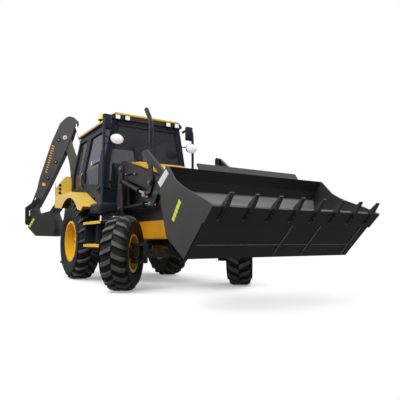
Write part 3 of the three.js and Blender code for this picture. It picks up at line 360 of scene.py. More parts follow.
finish = {"yellow": (0.86, 0.39, 0.006), "rimYellow": (0.94, 0.54, 0.010), "fender": (0.98, 0.67, 0.10),
          "hood": (0.95, 0.56, 0.03), "charcoal": (0.040, 0.040, 0.038), "bucket": (0.036, 0.036, 0.0345),
          "boom": (0.085, 0.088, 0.072), "dipper": (0.064, 0.063, 0.060), "dark": (0.006, 0.006, 0.007),
          "cab": (0.013, 0.018, 0.034), "arms": (0.016, 0.016, 0.0165), "cast": (0.014, 0.014, 0.015),
          "exhaust": (0.012, 0.013, 0.018)}
looks = {
    "rim": paintLook("rimPaint", finish["rimYellow"], 0.3, 0.3),
    "fender": fenderLook(finish["fender"]),
    "hood": hoodLook(finish["hood"]),
    "roof": roofLook(finish["rimYellow"], finish["cab"]),
    "chassis": chassisLook(finish["yellow"], finish["charcoal"]),
    "charcoal": paintLook("charcoalPaint", finish["charcoal"], 0.42, 0.15, 0.15, 0.15, 0.3),
    "boom": paintLook("boomPaint", finish["boom"], 0.45, 0.15, 0.1, 0.1, 0.3),
    "dipper": paintLook("dipperPaint", finish["dipper"], 0.42, 0.15, 0.1, 0.15, 0.3),
    "loaderBucket": bucketLook("loaderBucketPaint", finish["bucket"], 1.0),
    "bucket": bucketLook("hoeBucketPaint", finish["bucket"]),
    "dark": paintLook("blackPaint", finish["dark"], 0.38, 0.05, 0.04, 0.12, 0.3),
    "arms": paintLook("armPaint", finish["arms"], 0.4, 0.08, 0.08, 0.15, 0.3),
    "cab": paintLook("cabPaint", finish["cab"], 0.46, 0.01, 0.0, 0.05, 0.25),
    "cast": paintLook("castingPaint", finish["cast"], 0.55, 0.3, 0.1, 0.1, 0.3),
    "rubber": rubberLook("tyreRubber", 0.010, 1.0),
    "hose": rubberLook("hoseRubber", 0.010, 3.0),
    "chrome": steelLook("chromedRod", (0.72, 0.73, 0.75), 0.08, 0.06),
    "steel": steelLook("wornSteel", (0.33, 0.32, 0.31), 0.35, 0.15),
    "exhaust": paintLook("exhaustPaint", finish["exhaust"], 0.42, 0.04, 0.1, 0.1, 0.25),
    "glass": glassLook("screenGlass", (0.030, 0.036, 0.046), 0.46),
    "sideGlass": glassLook("doorGlass", (0.016, 0.021, 0.034), 0.80),
    "plastic": plasticLook("blackPlastic", (0.013, 0.013, 0.015)),
    "cloth": clothLook("seatCloth", (0.03, 0.03, 0.035)),
    "lamp": lampLook("lampLens", (0.88, 0.88, 0.92), 0.35),
    "beacon": lampLook("beaconLens", (0.95, 0.60, 0.06), 0.35),
    "band": plasticLook("doorBandSheet", (0.13, 0.17, 0.32)),
    "white": plasticLook("whiteSheet", (0.72, 0.73, 0.74), 0.4),
    "reflector": plasticLook("reflectorSheet", (0.85, 0.62, 0.05), 0.35, 500.0),
    "mirror": steelLook("mirrorGlass", (0.8, 0.82, 0.85), 0.03, 0.01),
    "reflectorBars": stripeLook("reflectorBars", (0.80, 0.78, 0.05), (0.03, 0.03, 0.03), (4.0, 0, 0.9),
                                (0.57, 0.0, 0.82), 0.052, 0.13),
    "hatchBars": stripeLook("hatchBars", (0.045, 0.043, 0.04), (0.80, 0.38, 0.06), (0, 0, 0),
                            (0.3, 0.3, 0.9), 0.055, 0.45),
}
print("materials ready:", len(looks))

nodeLooks = {
    "chassis": ["chassis_frame"], "hood": ["hood"], "roof": ["cab_roof"], "arms": ["loader_arms"],
    "charcoal": ["side_shift_carriage", "swing_post"], "dark": ["bucket_lever", "bucket_link"],
    "boom": ["backhoe_boom"], "dipper": ["dipper"], "loaderBucket": ["front_bucket"],
    "bucket": ["backhoe_bucket"], "cab": ["cab_frame"], "cast": ["engine_block", "front_axle", "rear_axle"],
    "glass": ["windscreen", "rear_window"], "plastic": ["steering_console"], "cloth": ["driver_seat"],
    "exhaust": ["exhaust_stack"]}
# nodes that come as a left and a right one
pairLooks = {
    "fender": ["rear_fender"], "charcoal": ["stabilizer_leg"], "dark": ["tilt_lever", "tilt_link"],
    "cab": ["door", "step_box"], "cast": ["steering_knuckle"], "sideGlass": ["door_glass"],
    "rim": ["rear_rim", "front_rim"], "rubber": ["rear_tyre", "front_tyre"]}


def dress(nodeName, lookName):
    nodes[nodeName].data.materials.clear()
    nodes[nodeName].data.materials.append(looks[lookName].material)


for nodeName in nodes:
    if nodeName.endswith("_barrel"):
        dress(nodeName, "dark")
    elif nodeName.endswith("_rod"):
        dress(nodeName, "chrome")
for lookName, names in nodeLooks.items():
    for nodeName in names:
        dress(nodeName, lookName)
for lookName, tails in pairLooks.items():
    for nodeName in [f"{word}_{tail}" for tail in tails for word in sides]:
        dress(nodeName, lookName)


def putIn(thing):
    bpy.context.scene.collection.objects.link(thing)
    return thing


def finishPiece(name, bm, body, look, smoothAngle=None, bevel=0.0, place=None):
    # place puts the piece where it belongs on the machine, before the machine's place in the frame
    if place is not None:
        bmesh.ops.transform(bm, matrix=place, verts=bm.verts)
    bmesh.ops.transform(bm, matrix=toFrame, verts=bm.verts)
    bmesh.ops.recalc_face_normals(bm, faces=bm.faces)
    mesh = bpy.data.meshes.new(name)
    bm.to_mesh(mesh)
    bm.free()
    piece = putIn(bpy.data.objects.new(name, mesh))
    for entry in look if isinstance(look, list) else [look]:
        mesh.materials.append(looks[entry].material)
    if smoothAngle is not None:
        for face in mesh.polygons:
            face.use_smooth = True
        mesh.set_sharp_from_angle(angle=math.radians(smoothAngle))
    if bevel:
        edge = piece.modifiers.new("edges", "BEVEL")
        edge.width = bevel
        edge.segments = 2
        edge.limit_method = "ANGLE"
    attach(piece, body)
    return piece


def setMaterial(made, material):
    for face in {f for v in made["verts"] for f in v.link_faces}:
        face.material_index = material


def addBox(bm, corner, opposite, material=0):
    # two opposite corners, in any order
    low = Vector([min(pair) for pair in zip(corner, opposite)])
    high = Vector([max(pair) for pair in zip(corner, opposite)])
    matrix = Matrix.Translation((high + low) / 2) @ Matrix.Diagonal((*(high - low), 1))
    setMaterial(bmesh.ops.create_cube(bm, size=1.0, matrix=matrix), material)


def addDrum(bm, start, end, radius, endRadius=None, sides=24, material=0):
    start, end = Vector(start), Vector(end)
    along = end - start
    turn = along.to_track_quat("Z", "Y").to_matrix().to_4x4()
    made = bmesh.ops.create_cone(bm, cap_ends=True, segments=sides, radius1=radius,
                                 radius2=radius if endRadius is None else endRadius, depth=along.length,
                                 matrix=Matrix.Translation((start + end) / 2) @ turn)
    setMaterial(made, material)


def pushOut(bm, made, shift):
    # moves the points that an extrude has just made
    moved = [item for item in made["geom"] if isinstance(item, bmesh.types.BMVert)]
    bmesh.ops.translate(bm, vec=shift, verts=moved)


def soften(bm, radius, steps):
    bmesh.ops.bevel(bm, geom=bm.edges[:], offset=radius, segments=steps, profile=0.5, affect="EDGES",
                    material=-1)


def spinProfile(bm, profile, steps):
    # [radius, offset] points turned about the Y axis
    ring = [bm.verts.new((radius, offset, 0)) for radius, offset in profile]
    edges = [bm.edges.new((ring[i], ring[(i + 1) % len(ring)])) for i in range(len(ring))]
    bmesh.ops.spin(bm, geom=ring + edges, axis=(0, 1, 0), cent=(0, 0, 0), angle=math.tau,
                   steps=steps, use_merge=True)


def hosePiece(name, points, radius, body, look="hose", place=None, ends=True):
    # a clipped hose or a rail on a smooth curve; a hose has a steel collar at each end
    line = bpy.data.curves.new(name + "Line", "CURVE")
    line.dimensions = "3D"
    spline = line.splines.new("NURBS")
    spline.points.add(len(points) - 1)
    for point, spot in zip(spline.points, points):
        point.co = (*spot, 1.0)
    spline.use_endpoint_u = True
    spline.order_u = 3
    spline.resolution_u = 6
    line.bevel_depth = radius
    line.bevel_resolution = 2
    line.use_fill_caps = True
    holder = bpy.data.objects.new(name + "Line", line)
    mesh = holder.to_mesh()
    bm = bmesh.new()
    bm.from_mesh(mesh)
    holder.to_mesh_clear()
    bpy.data.objects.remove(holder)
    bmesh.ops.remove_doubles(bm, verts=bm.verts, dist=1e-5)
    if ends:
        for first, second in ((points[0], points[1]), (points[-1], points[-2])):
            step = (Vector(second) - Vector(first)).normalized() * 0.05
            addDrum(bm, first, Vector(first) + step, radius * 1.35, sides=12, material=1)
    return finishPiece(name, bm, body, [look, "steel"], 50, place=place)


def addBolts(bm, spots, direction, radius, height, material=0):
    # a washer and a six-sided head at each spot
    reach = Vector(direction) * height
    for spot in spots:
        spot = Vector(spot)
        addDrum(bm, spot, spot + reach * 0.35, radius * 1.35, radius * 1.35, 16, material)
        addDrum(bm, spot, spot + reach, radius, radius, 6, material)


rearWheel = {"radius": 0.700, "half": 0.215, "bead": 0.358, "seat": 0.165, "lugs": 22, "lugHeight": 0.046,
             "lugWidth": 0.052, "skew": 0.16, "axle": (0.0, 0.930, 0.700), "turn": 0.0, "kingpin": 0.0,
             "boltCircle": 0.20, "bolts": 10, "boltFace": 0.012, "hubFace": 0.055}
frontWheel = {"radius": 0.535, "half": 0.200, "bead": 0.257, "seat": 0.150, "lugs": 20, "lugHeight": 0.040,
              "lugWidth": 0.060, "skew": 0.17, "axle": (2.350, 0.826, 0.535), "turn": math.radians(-40),
              "kingpin": 0.184, "boltCircle": 0.085, "bolts": 8, "boltFace": 0.045, "hubFace": 0.045}
tread = {"flat": 0.55, "fall": 0.068, "rootWidth": 1.25, "taper": 0.35, "crestWidth": 0.82, "sunk": 0.012,
         "shoulder": 0.9, "shoulderFall": 0.5, "reach": 0.94, "limit": 0.955}
# a wall point is a share of the wall's height over the bead and a share of half the tyre's width
tyreWall = [(0.72, 0.965), (0.62, 0.99), (0.6, 0.975), (0.42, 0.985), (0.3, 0.955), (0.29, 0.925),
            (0.15, 0.87)]
washerNutStud = ((-0.004, 0.006, 0.021, 20), (0, 0.022, 0.015, 6), (0, 0.034, 0.008, 10))


def wheelPlace(wheel, side):
    x, y, z = wheel["axle"]
    steered = Matrix.Translation((x, side * y, z)) @ Matrix.Rotation(wheel["turn"], 4, "Z")
    outward = Matrix.Translation((0, side * wheel["kingpin"], 0))
    return steered @ outward @ Matrix.Rotation(0 if side > 0 else math.pi, 4, "Z")


def treadRadius(wheel, share):
    # the tread is flat in the middle and falls away to the shoulder
    fall = max(0.0, abs(share) - tread["flat"]) / (1.0 - tread["flat"])
    return wheel["radius"] - wheel["lugHeight"] - fall ** 2 * tread["fall"]


def lugBlock(cuts):
    # a unit block cut across its length, ready to be bent round the tyre
    bm = bmesh.new()
    bmesh.ops.create_cube(bm, size=1.0)
    across = [edge for edge in bm.edges if abs(edge.verts[0].co.y - edge.verts[1].co.y) > 0.5]
    bmesh.ops.subdivide_edges(bm, edges=across, cuts=cuts)
    block = bpy.data.meshes.new("lugBlock")
    bm.to_mesh(block)
    bm.free()
    return block


def makeTyre(word, end, wheel, side):
    bm = bmesh.new()
    radius, half, bead, seat = wheel["radius"], wheel["half"], wheel["bead"], wheel["seat"]
    crest = bm.verts.layers.float.new("crest")
    block = lugBlock(5)
    for row in (-1, 1):
        for index in range(wheel["lugs"]):
            phase = (index + (0.5 if row > 0 else 0.0)) * math.tau / wheel["lugs"]
            before = len(bm.verts)
            bm.from_mesh(block)
            bm.verts.ensure_lookup_table()
            for vert in bm.verts[before:]:
                share = vert.co.y + 0.52
                top = vert.co.z > 0
                vert[crest] = 1.0 if top else 0.0
                width = wheel["lugWidth"] * (tread["rootWidth"] - tread["taper"] * share)
                width *= tread["crestWidth"] if top else 1.0
                rise = wheel["lugHeight"] if top else -tread["sunk"]
                drop = max(0.0, share - tread["shoulder"]) * tread["shoulderFall"]
                reach = treadRadius(wheel, share * 0.98) + rise - drop
                lean = wheel["skew"] * share ** 0.8 + vert.co.x * width / radius
                offset = row * half * min(tread["limit"], tread["reach"] * share)
                vert.co = (reach * math.cos(phase + lean), offset, reach * math.sin(phase + lean))
    bpy.data.meshes.remove(block)
    crown = [(treadRadius(wheel, s / 8), half * 0.93 * s / 8) for s in range(-8, 9)]
    outer = [(bead + (radius - bead) * up, half * out) for up, out in tyreWall]
    outer += [(bead + 0.027, seat - 0.002), (bead, seat - 0.002)]
    inner = [(r, -y) for r, y in reversed(outer)]
    spinProfile(bm, inner + crown + outer, 96)
    piece = finishPiece(f"{word}{end.capitalize()}TreadedTyre", bm, f"{word}_{end}_wheel", "rubber", 32,
                        place=wheelPlace(wheel, side))
    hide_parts(f"{word}_{end}_tyre")


def makeHub(word, end, wheel, side):
    bm = bmesh.new()
    face, cap = wheel["boltFace"], wheel["hubFace"]
    for index in range(wheel["bolts"]):
        angle = index * math.tau / wheel["bolts"]
        x, z = wheel["boltCircle"] * math.cos(angle), wheel["boltCircle"] * math.sin(angle)
        for low, high, width, count in washerNutStud:
            addDrum(bm, (x, face + low, z), (x, face + high, z), width, sides=count, material=1)
    addDrum(bm, (0, cap - 0.002, 0), (0, cap + 0.045, 0), 0.058, 0.05, 28)
    addDrum(bm, (0, cap + 0.04, 0), (0, cap + 0.056, 0), 0.036, 0.03, 6, 1)
    finishPiece(f"{word}{end.capitalize()}Hub", bm, f"{word}_{end}_wheel", ["rim", "steel"], 35, 0.0015,
                wheelPlace(wheel, side))


for word, side in sides.items():
    for end, wheel in (("rear", rearWheel), ("front", frontWheel)):
        makeTyre(word, end, wheel, side)
        makeHub(word, end, wheel, side)
print("wheels ready")


loaderBucket = {"half": 1.2, "edge": Vector((4.892, 0, 1.040)), "heel": Vector((4.385, 0, 0.530)),
                "strips": (-1.165, -0.04, 0.39, 1.09), "teeth": 8, "toothMargin": 0.15,
                "seam": 0.2, "seamHalf": 1.15, "beads": 64}


def makeBucketDetails():
    spec, body = loaderBucket, "loader_bucket"
    along = (spec["edge"] - spec["heel"]).normalized()
    below = Vector((along.z, 0, -along.x))
    turn = Matrix(((along.x, 0, -below.x, 0), (0, 1, 0, 0), (along.z, 0, -below.z, 0), (0, 0, 0, 1)))
    floorPlace = Matrix.Translation(spec["heel"]) @ turn
    bm = bmesh.new()
    for y in spec["strips"]:
        addBox(bm, (0.03, y - 0.022, -0.012), (0.50, y + 0.022, 0.002))
    addBox(bm, (0.505, -1.185, -0.009), (0.522, 1.185, 0.002))
    finishPiece("bucketWearStrips", bm, body, "loaderBucket", 30, 0.003, floorPlace)
    bm = bmesh.new()
    for index in range(spec["beads"]):
        y = spec["seamHalf"] * (2 * index / spec["beads"] - 1)
        addDrum(bm, (spec["seam"], y, -0.001), (spec["seam"], y + 0.034, -0.001), 0.007, 0.005, 8)
    finishPiece("bucketSeamWeld", bm, body, "steel", 50, 0, floorPlace)
    bm = bmesh.new()
    first = spec["half"] - spec["toothMargin"]
    for index in range(spec["teeth"]):
        y = first * (2 * index / (spec["teeth"] - 1) - 1)
        for z, way in ((-0.034, -1), (0.0, 1)):
            addBolts(bm, [(0.60, y, z), (0.66, y, z)], (0, 0, way), 0.010, 0.010)
    finishPiece("bucketToothBolts", bm, body, "dark", 30, 0.001, floorPlace)


makeBucketDetails()


sheetDepth = 0.0015


def sidePanel(name, points, y, outward, body, look, place=None):
    # a thin sheet on a face that looks sideways
    bm = bmesh.new()
    face = bm.faces.new([bm.verts.new((x, y, z)) for x, z in points])
    pushOut(bm, bmesh.ops.extrude_face_region(bm, geom=[face]), (0, outward * sheetDepth, 0))
    finishPiece(name, bm, body, look, place=place)


bucketSheets = {"Reflector": [(4.287, 1.138), (4.335, 1.103), (4.183, 0.907), (4.135, 0.935)],
                "BlankSheet": [(3.996, 1.490), (4.062, 1.429), (3.871, 1.299), (3.802, 1.364)]}

for word, side in sides.items():
    face = side * (loaderBucket["half"] + 0.0005)
    for name, look in (("Reflector", "reflectorBars"), ("BlankSheet", "white")):
        sidePanel(f"{word}Bucket{name}", bucketSheets[name], face, side, "loader_bucket", look)
print("loader bucket ready")

cab = {"back": -0.974, "front": 0.938, "half": 0.830, "waist": 2.05, "top": 2.88, "topHalf": 0.68}
quarterGlass = {"back": -0.872, "length": 0.524, "inset": 0.022, "thickness": 0.006,
                "heights": (1.76, 2.05, 2.75)}
sealLines = {
    "quarter": [(-0.88, 1.75), (-0.88, 2.05), (-0.88, 2.76), (-0.34, 2.76), (-0.34, 2.05), (-0.34, 1.75)],
    "door": [(0.70, 1.70), (-0.15, 1.80), (-0.15, 2.05), (-0.15, 2.74), (0.70, 2.74), (0.70, 2.05)],
    "windscreen": [(-0.73, 1.62), (0.73, 1.62), (0.73, 2.06), (0.60, 2.79), (-0.60, 2.79), (-0.73, 2.06)],
    "rearWindow": [(-0.64, 1.62), (0.64, 1.62), (0.64, 2.06), (0.56, 2.78), (-0.56, 2.78), (-0.64, 2.06)]}


def wallY(z):
    if z <= cab["waist"]:
        return cab["half"]
    share = (z - cab["waist"]) / (cab["top"] - cab["waist"])
    return cab["half"] + (cab["topHalf"] - cab["half"]) * share


def addStrip(bm, points, width, depth, outward):
    # square moulding that follows a line of points
    points = [Vector(point) for point in points]
    for first, second in zip(points, points[1:]):
        length = (second - first).length
        along = (second - first).normalized()
        cross = along.cross(Vector(outward)).normalized()
        turn = Matrix((cross, along, cross.cross(along))).transposed().to_4x4()
        size = Matrix.Diagonal((width, length + width, depth, 1))
        bmesh.ops.create_cube(bm, size=1.0, matrix=Matrix.Translation((first + second) / 2) @ turn @ size)


def makeSeal(name, body, line, width, side=0, x=None):
    # a closed rubber seal, on the side wall or across the machine at x
    bm = bmesh.new()
    spots = sealLines[line] + sealLines[line][:1]
    if side:
        points = [(along, side * (wallY(z) + 0.002), z) for along, z in spots]
        outward = (0, side, 0)
    else:
        points = [(x, y, z) for y, z in spots]
        outward = (math.copysign(1, x), 0, 0)
    addStrip(bm, points, width, 0.008, outward)
    finishPiece(name, bm, body, "plastic")


def makeQuarterGlass(word, side):
    spec = quarterGlass
    bm = bmesh.new()
    edge = [bm.verts.new((spec["back"], side * (wallY(z) - spec["inset"]), z)) for z in spec["heights"]]
    lines = [bm.edges.new(pair) for pair in zip(edge, edge[1:])]
    pushOut(bm, bmesh.ops.extrude_edge_only(bm, edges=lines), (spec["length"], 0, 0))
    bmesh.ops.solidify(bm, geom=bm.faces[:], thickness=spec["thickness"])
    finishPiece(word + "QuarterGlass", bm, "chassis", "glass")
    makeSeal(word + "QuarterSeal", "chassis", "quarter", 0.03, side)


def makeDoorTrim(word, side):
    door = word + "_cab_door"
    makeSeal(word + "DoorSeal", door, "door", 0.026, side)
    bm = bmesh.new()
    y, grip = side * (cab["half"] + 0.002), side * (cab["half"] + 0.030)
    addBox(bm, (0.62, y, 1.56), (0.76, y + side * 0.012, 1.66))
    addBox(bm, (0.635, grip, 1.60), (0.745, grip + side * 0.014, 1.625))
    addBox(bm, (0.73, y, 1.598), (0.748, grip, 1.627))
    finishPiece(word + "DoorHandle", bm, door, "plastic", 30, 0.003)
    bm = bmesh.new()
    inner, outer = side * (wallY(2.15) + 0.001), side * (wallY(2.15) + 0.008)
    for start, end, index in ((0.20, 0.27, 1), (0.27, 0.72, 0)):
        addBox(bm, (start, inner, 2.13), (end, outer, 2.20), index)
    finishPiece(word + "DoorBand", bm, door, ["band", "reflector"], 30, 0.002)
    rail = [(-0.20, side * y, z) for y, z in ((0.845, 1.72), (0.885, 1.76), (0.885, 2.0), (0.845, 2.04))]
    hosePiece(word + "DoorPullRail", rail, 0.011, door, "steel", ends=False)


def makeWindscreenTrim():
    makeSeal("windscreenSeal", "chassis", "windscreen", 0.03, x=cab["front"] + 0.002)
    makeSeal("rearWindowSeal", "chassis", "rearWindow", 0.03, x=cab["back"] - 0.002)
    bm = bmesh.new()
    addDrum(bm, (0.936, 0.05, 1.585), (0.972, 0.05, 1.585), 0.022)
    addStrip(bm, [(0.962, 0.05, 1.585), (0.956, -0.16, 2.12)], 0.012, 0.008, (1, 0, 0))
    addStrip(bm, [(0.948, -0.02, 1.88), (0.948, -0.28, 2.42)], 0.010, 0.014, (1, 0, 0))
    finishPiece("windscreenWiper", bm, "chassis", "plastic", 30)


roof = {"top": 2.985, "back": -0.996, "front": 0.960, "ribs": (-0.62, -0.2, 0.2, 0.62),
        "beacon": (0.10, -0.60),
        "stem": (2.985, 3.05, 0.030, 0.026, 24, 0), "plate": (3.05, 3.075, 0.055, 0.058, 24, 0),
        "lens": (3.075, 3.165, 0.052, 0.046, 28, 1), "crown": (3.165, 3.178, 0.046, 0.026, 28, 1)}


def makeRoof():
    bm = bmesh.new()
    for end, outward in ((roof["front"], 1), (roof["back"], -1)):
        addBox(bm, (end + outward * 0.0005, -0.66, 2.957), (end + outward * 0.022, 0.66, 2.992))
    for x in roof["ribs"]:
        addBox(bm, (x - 0.03, -0.60, roof["top"] + 0.0005), (x + 0.03, 0.60, roof["top"] + 0.014))
    finishPiece("roofCapRibs", bm, "chassis", "roof", 40, 0.005)
    bm = bmesh.new()
    x, y = roof["beacon"]
    for piece in ("stem", "plate", "lens", "crown"):
        low, high, radius, topRadius, count, material = roof[piece]
        addDrum(bm, (x, y, low), (x, y, high), radius, topRadius, count, material)
    finishPiece("roofBeacon", bm, "chassis", ["plastic", "beacon"], 35, 0.002)


lampRim = {"width": 0.007, "rise": 0.006, "lensRise": 0.004}


def makeLamp(name, spot, outward, width, height, depth, lens="lamp"):
    # a boxed lamp that looks forwards or backwards, with a lens set in a rim
    turn = Vector((outward, 0, 0)).to_track_quat("X", "Z").to_matrix().to_4x4()
    y, z, rise = width / 2, height / 2, lampRim["rise"]
    innerY, innerZ = y - lampRim["width"], z - lampRim["width"]
    bm = bmesh.new()
    addBox(bm, (-depth, -y, -z), (0, y, z))
    for way in (-1, 1):
        addBox(bm, (0, -y, way * z), (rise, y, way * innerZ))
    for way in (-1, 1):
        addBox(bm, (0, way * y, -innerZ), (rise, way * innerY, innerZ))
    addBox(bm, (0.0005, -innerY, -innerZ), (lampRim["lensRise"], innerY, innerZ), 1)
    finishPiece(name, bm, "chassis", ["plastic", lens], 30, 0.003, Matrix.Translation(spot) @ turn)


# bowl and lens: distance from the axis as a share of the half width, and depth in metres
headlamp = {"width": 0.22, "height": 0.165, "lensBack": 0.011,
            "bowl": [(0.001, -0.11), (0.45, -0.10), (0.80, -0.06), (1.0, -0.012), (1.06, 0.0), (1.04, 0.014),
                     (0.94, 0.016)],
            "lens": [(0.001, 0.040), (0.40, 0.036), (0.72, 0.026), (0.94, 0.012)]}


def makeHeadlamp(name, spot):
    # a bowl, a rim and a domed lens, spun and drawn out to an oval
    spec = headlamp
    bm = bmesh.new()
    for profile in (spec["bowl"], spec["lens"]):
        spinProfile(bm, profile, 32)
    for face in bm.faces:
        if min(vert.co.y for vert in face.verts) > spec["lensBack"]:
            face.material_index = 1
    stretch = Matrix.Diagonal((spec["width"] / 2, 1.0, spec["height"] / 2, 1))
    turn = Matrix.Rotation(math.radians(-90), 4, "Z")
    finishPiece(name, bm, "chassis", ["plastic", "lamp"], 40, 0, Matrix.Translation(spot) @ turn @ stretch)


mast = {"mirror": (1.050, 0.827, 2.770), "pole": (1.10, 0.890), "lamp": (1.305, 0.735, 2.425),
        "foot": 1.31, "rail": 0.024, "arm": 0.012, "stays": (1.62, 2.52)}


def makeMast(word, side):
    # mirror, headlamp and the upright rail that carries them beside the windscreen
    x, y = mast["pole"][0], side * mast["pole"][1]
    rail = [(0.95, side * 0.74, 2.80), (1.02, side * 0.80, 2.86), (1.08, side * 0.87, 2.84)]
    rail += [(x, y, z) for z in (2.74, 2.2, 1.7, mast["foot"])]
    hosePiece(word + "MastRail", rail, mast["rail"], "chassis", "cab", ends=False)
    bm = bmesh.new()
    mx, my, mz = mast["mirror"][0], side * mast["mirror"][1], mast["mirror"][2]
    addBox(bm, (mx - 0.02, my - 0.075, mz - 0.135), (mx + 0.045, my + 0.075, mz + 0.135))
    soften(bm, 0.022, 3)
    addBox(bm, (mx - 0.024, my - 0.062, mz - 0.12), (mx - 0.019, my + 0.062, mz + 0.12), 1)
    finishPiece(word + "WingMirror", bm, "chassis", ["cab", "mirror"], 40)
    lx, ly, lz = mast["lamp"][0], side * mast["lamp"][1], mast["lamp"][2]
    makeHeadlamp(word + "Headlamp", (lx, ly, lz))
    arm = [(x, y, 2.36), (1.16, side * 0.84, 2.37), (1.20, ly, lz)]
    hosePiece(word + "HeadlampArm", arm, mast["arm"], "chassis", "dark", ends=False)
    for z in mast["stays"]:
        stay = [(0.93, side * wallY(z) * 0.94, z), (1.02, side * 0.86, z), (x, y, z)]
        hosePiece(f"{word}MastStay{int(z * 100)}", stay, mast["arm"], "chassis", "dark", ends=False)


sideBox = {"middle": 0.90, "shelf": 0.84, "catches": (1.04, 1.33)}


def makeSideBox(word, side):
    # rounded battery box that stands ahead of the step, under the door
    bm = bmesh.new()
    y, shelf = side * sideBox["middle"], side * sideBox["shelf"]
    addBox(bm, (0.925, y - 0.155, 1.16), (1.44, y + 0.155, 1.332))
    soften(bm, 0.045, 4)
    addBox(bm, (0.98, y - 0.157, 1.268), (1.385, y + 0.157, 1.276))
    addBox(bm, (0.95, shelf - 0.012, 1.045), (1.44, shelf + 0.012, 1.17))
    for x in sideBox["catches"]:
        addBox(bm, (x - 0.02, y - 0.162, 1.235), (x + 0.02, y + 0.162, 1.30))
    finishPiece(word + "BatteryBox", bm, "chassis", "cab", 40)


workLamps = {"spots": (0.415, 0.598), "height": 2.912, "front": 0.988, "rear": -1.024}
makeRoof()
makeWindscreenTrim()
for word, side in sides.items():
    makeQuarterGlass(word, side)
    makeDoorTrim(word, side)
    makeMast(word, side)
    makeSideBox(word, side)
    for index, y in enumerate(workLamps["spots"]):
        for end, outward in (("front", 1), ("rear", -1)):
            spot = (workLamps[end], side * y, workLamps["height"])
            makeLamp(f"{word}{end.capitalize()}WorkLamp{index}", spot, outward, 0.10, 0.088, 0.027)
print("cab ready")


seat = {"cushion": ((-0.385, -0.25, 1.635), (0.11, 0.25, 1.745)), "cushionFolds": (-0.4, 0.3),
        "back": ((0.0, -0.23, -0.055), (0.565, 0.23, 0.055)), "backFolds": (-0.3, 0.3),
        "backFoot": (-0.345, 0, 1.76), "lean": -80, "corner": 0.035, "crown": 0.012, "fold": 0.012,
        "foldWidth": 0.06, "pressure": 4.0, "cap": 0.010, "frames": 20}


def inflate(piece):
    # the pad is blown up as cloth, and no point may move further than the cap
    cloth = piece.modifiers.new("Inflate", "CLOTH")
    cloth.settings.use_pressure = True
    cloth.settings.uniform_pressure_force = seat["pressure"]
    cloth.settings.effector_weights.gravity = 0.0
    cloth.settings.tension_stiffness = 30.0
    start = [vert.co.copy() for vert in piece.data.vertices]
    scene = bpy.context.scene
    for moment in range(1, seat["frames"] + 1):
        scene.frame_set(moment)
    evaluated = piece.evaluated_get(bpy.context.evaluated_depsgraph_get())
    moved = [vert.co.copy() for vert in evaluated.data.vertices]
    piece.modifiers.remove(cloth)
    scene.frame_set(1)
    for vert, old, new in zip(piece.data.vertices, start, moved):
        shift = new - old
        vert.co = old + shift * min(1.0, seat["cap"] / max(shift.length, 1e-9))


def makePad(name, corners, folds, place=None):
    # a padded block: soft corners, a crown, blown up as cloth, with sewn channels across it
    bm = bmesh.new()
    addBox(bm, *corners)
    soften(bm, seat["corner"], 3)
    bmesh.ops.subdivide_edges(bm, edges=bm.edges[:], cuts=5, use_grid_fill=True)
    low, high = Vector(corners[0]), Vector(corners[1])
    middle = (low + high) / 2
    half = (high - low) / 2
    for vert in bm.verts:
        share = [(vert.co[i] - middle[i]) / half[i] for i in range(3)]
        swell = max(0.0, 1 - share[0] ** 2) * max(0.0, 1 - share[1] ** 2)
        if abs(share[2]) > 0.5:
            vert.co.z += math.copysign(seat["crown"] * swell, share[2])
    bmesh.ops.smooth_vert(bm, verts=bm.verts, factor=0.5, use_axis_x=True, use_axis_y=True, use_axis_z=True)
    piece = finishPiece(name, bm, "chassis", "cloth", 60)
    inflate(piece)
    back = toFrame.inverted()
    for vert in piece.data.vertices:
        share = [((back @ vert.co)[i] - middle[i]) / half[i] for i in range(3)]
        fold = sum(math.exp(-((share[0] - spot) / seat["foldWidth"]) ** 2) for spot in folds)
        if abs(share[2]) > 0.5:
            vert.co.z -= math.copysign(seat["fold"] * fold, share[2])
    if place:
        piece.data.transform(toFrame @ place @ back)
    piece.data.update()
    return piece


cushion = makePad("seatCushion", seat["cushion"], seat["cushionFolds"])
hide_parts("driver_seat")
lean = Matrix.Translation(seat["backFoot"]) @ Matrix.Rotation(math.radians(seat["lean"]), 4, "Y")
makePad("seatBack", seat["back"], seat["backFolds"], lean)
# back, front, half width, underside and top of the plinth, post, pan and arm bracket
seatFrame = [(-0.32, 0.02, 0.18, 1.297, 1.42), (-0.30, 0.0, 0.16, 1.42, 1.60),
             (-0.37, 0.08, 0.24, 1.60, 1.634), (-0.345, -0.30, 0.29, 1.61, 1.634)]
bm = bmesh.new()
for back, front, half, low, high in seatFrame:
    addBox(bm, (back, -half, low), (front, half, high))
for side in (-1, 1):
    # armrest and its post
    for back, front, y, half, low, high in ((-0.35, 0.06, 0.295, 0.025, 1.865, 1.915),
                                            (-0.345, -0.30, 0.285, 0.012, 1.62, 1.87)):
        addBox(bm, (back, side * y - half, low), (front, side * y + half, high))
finishPiece("seatFrame", bm, "chassis", "plastic", 30, 0.006)
print("seat ready")


# each tread: back end, front end and underside
steps = {"treads": ((0.815, 1.652, 0.610), (0.785, 1.652, 0.980)), "inner": 0.935, "outer": 1.1105,
         "studRows": (0.965, 1.005, 1.045, 1.085), "studs": 14, "margin": 0.04}


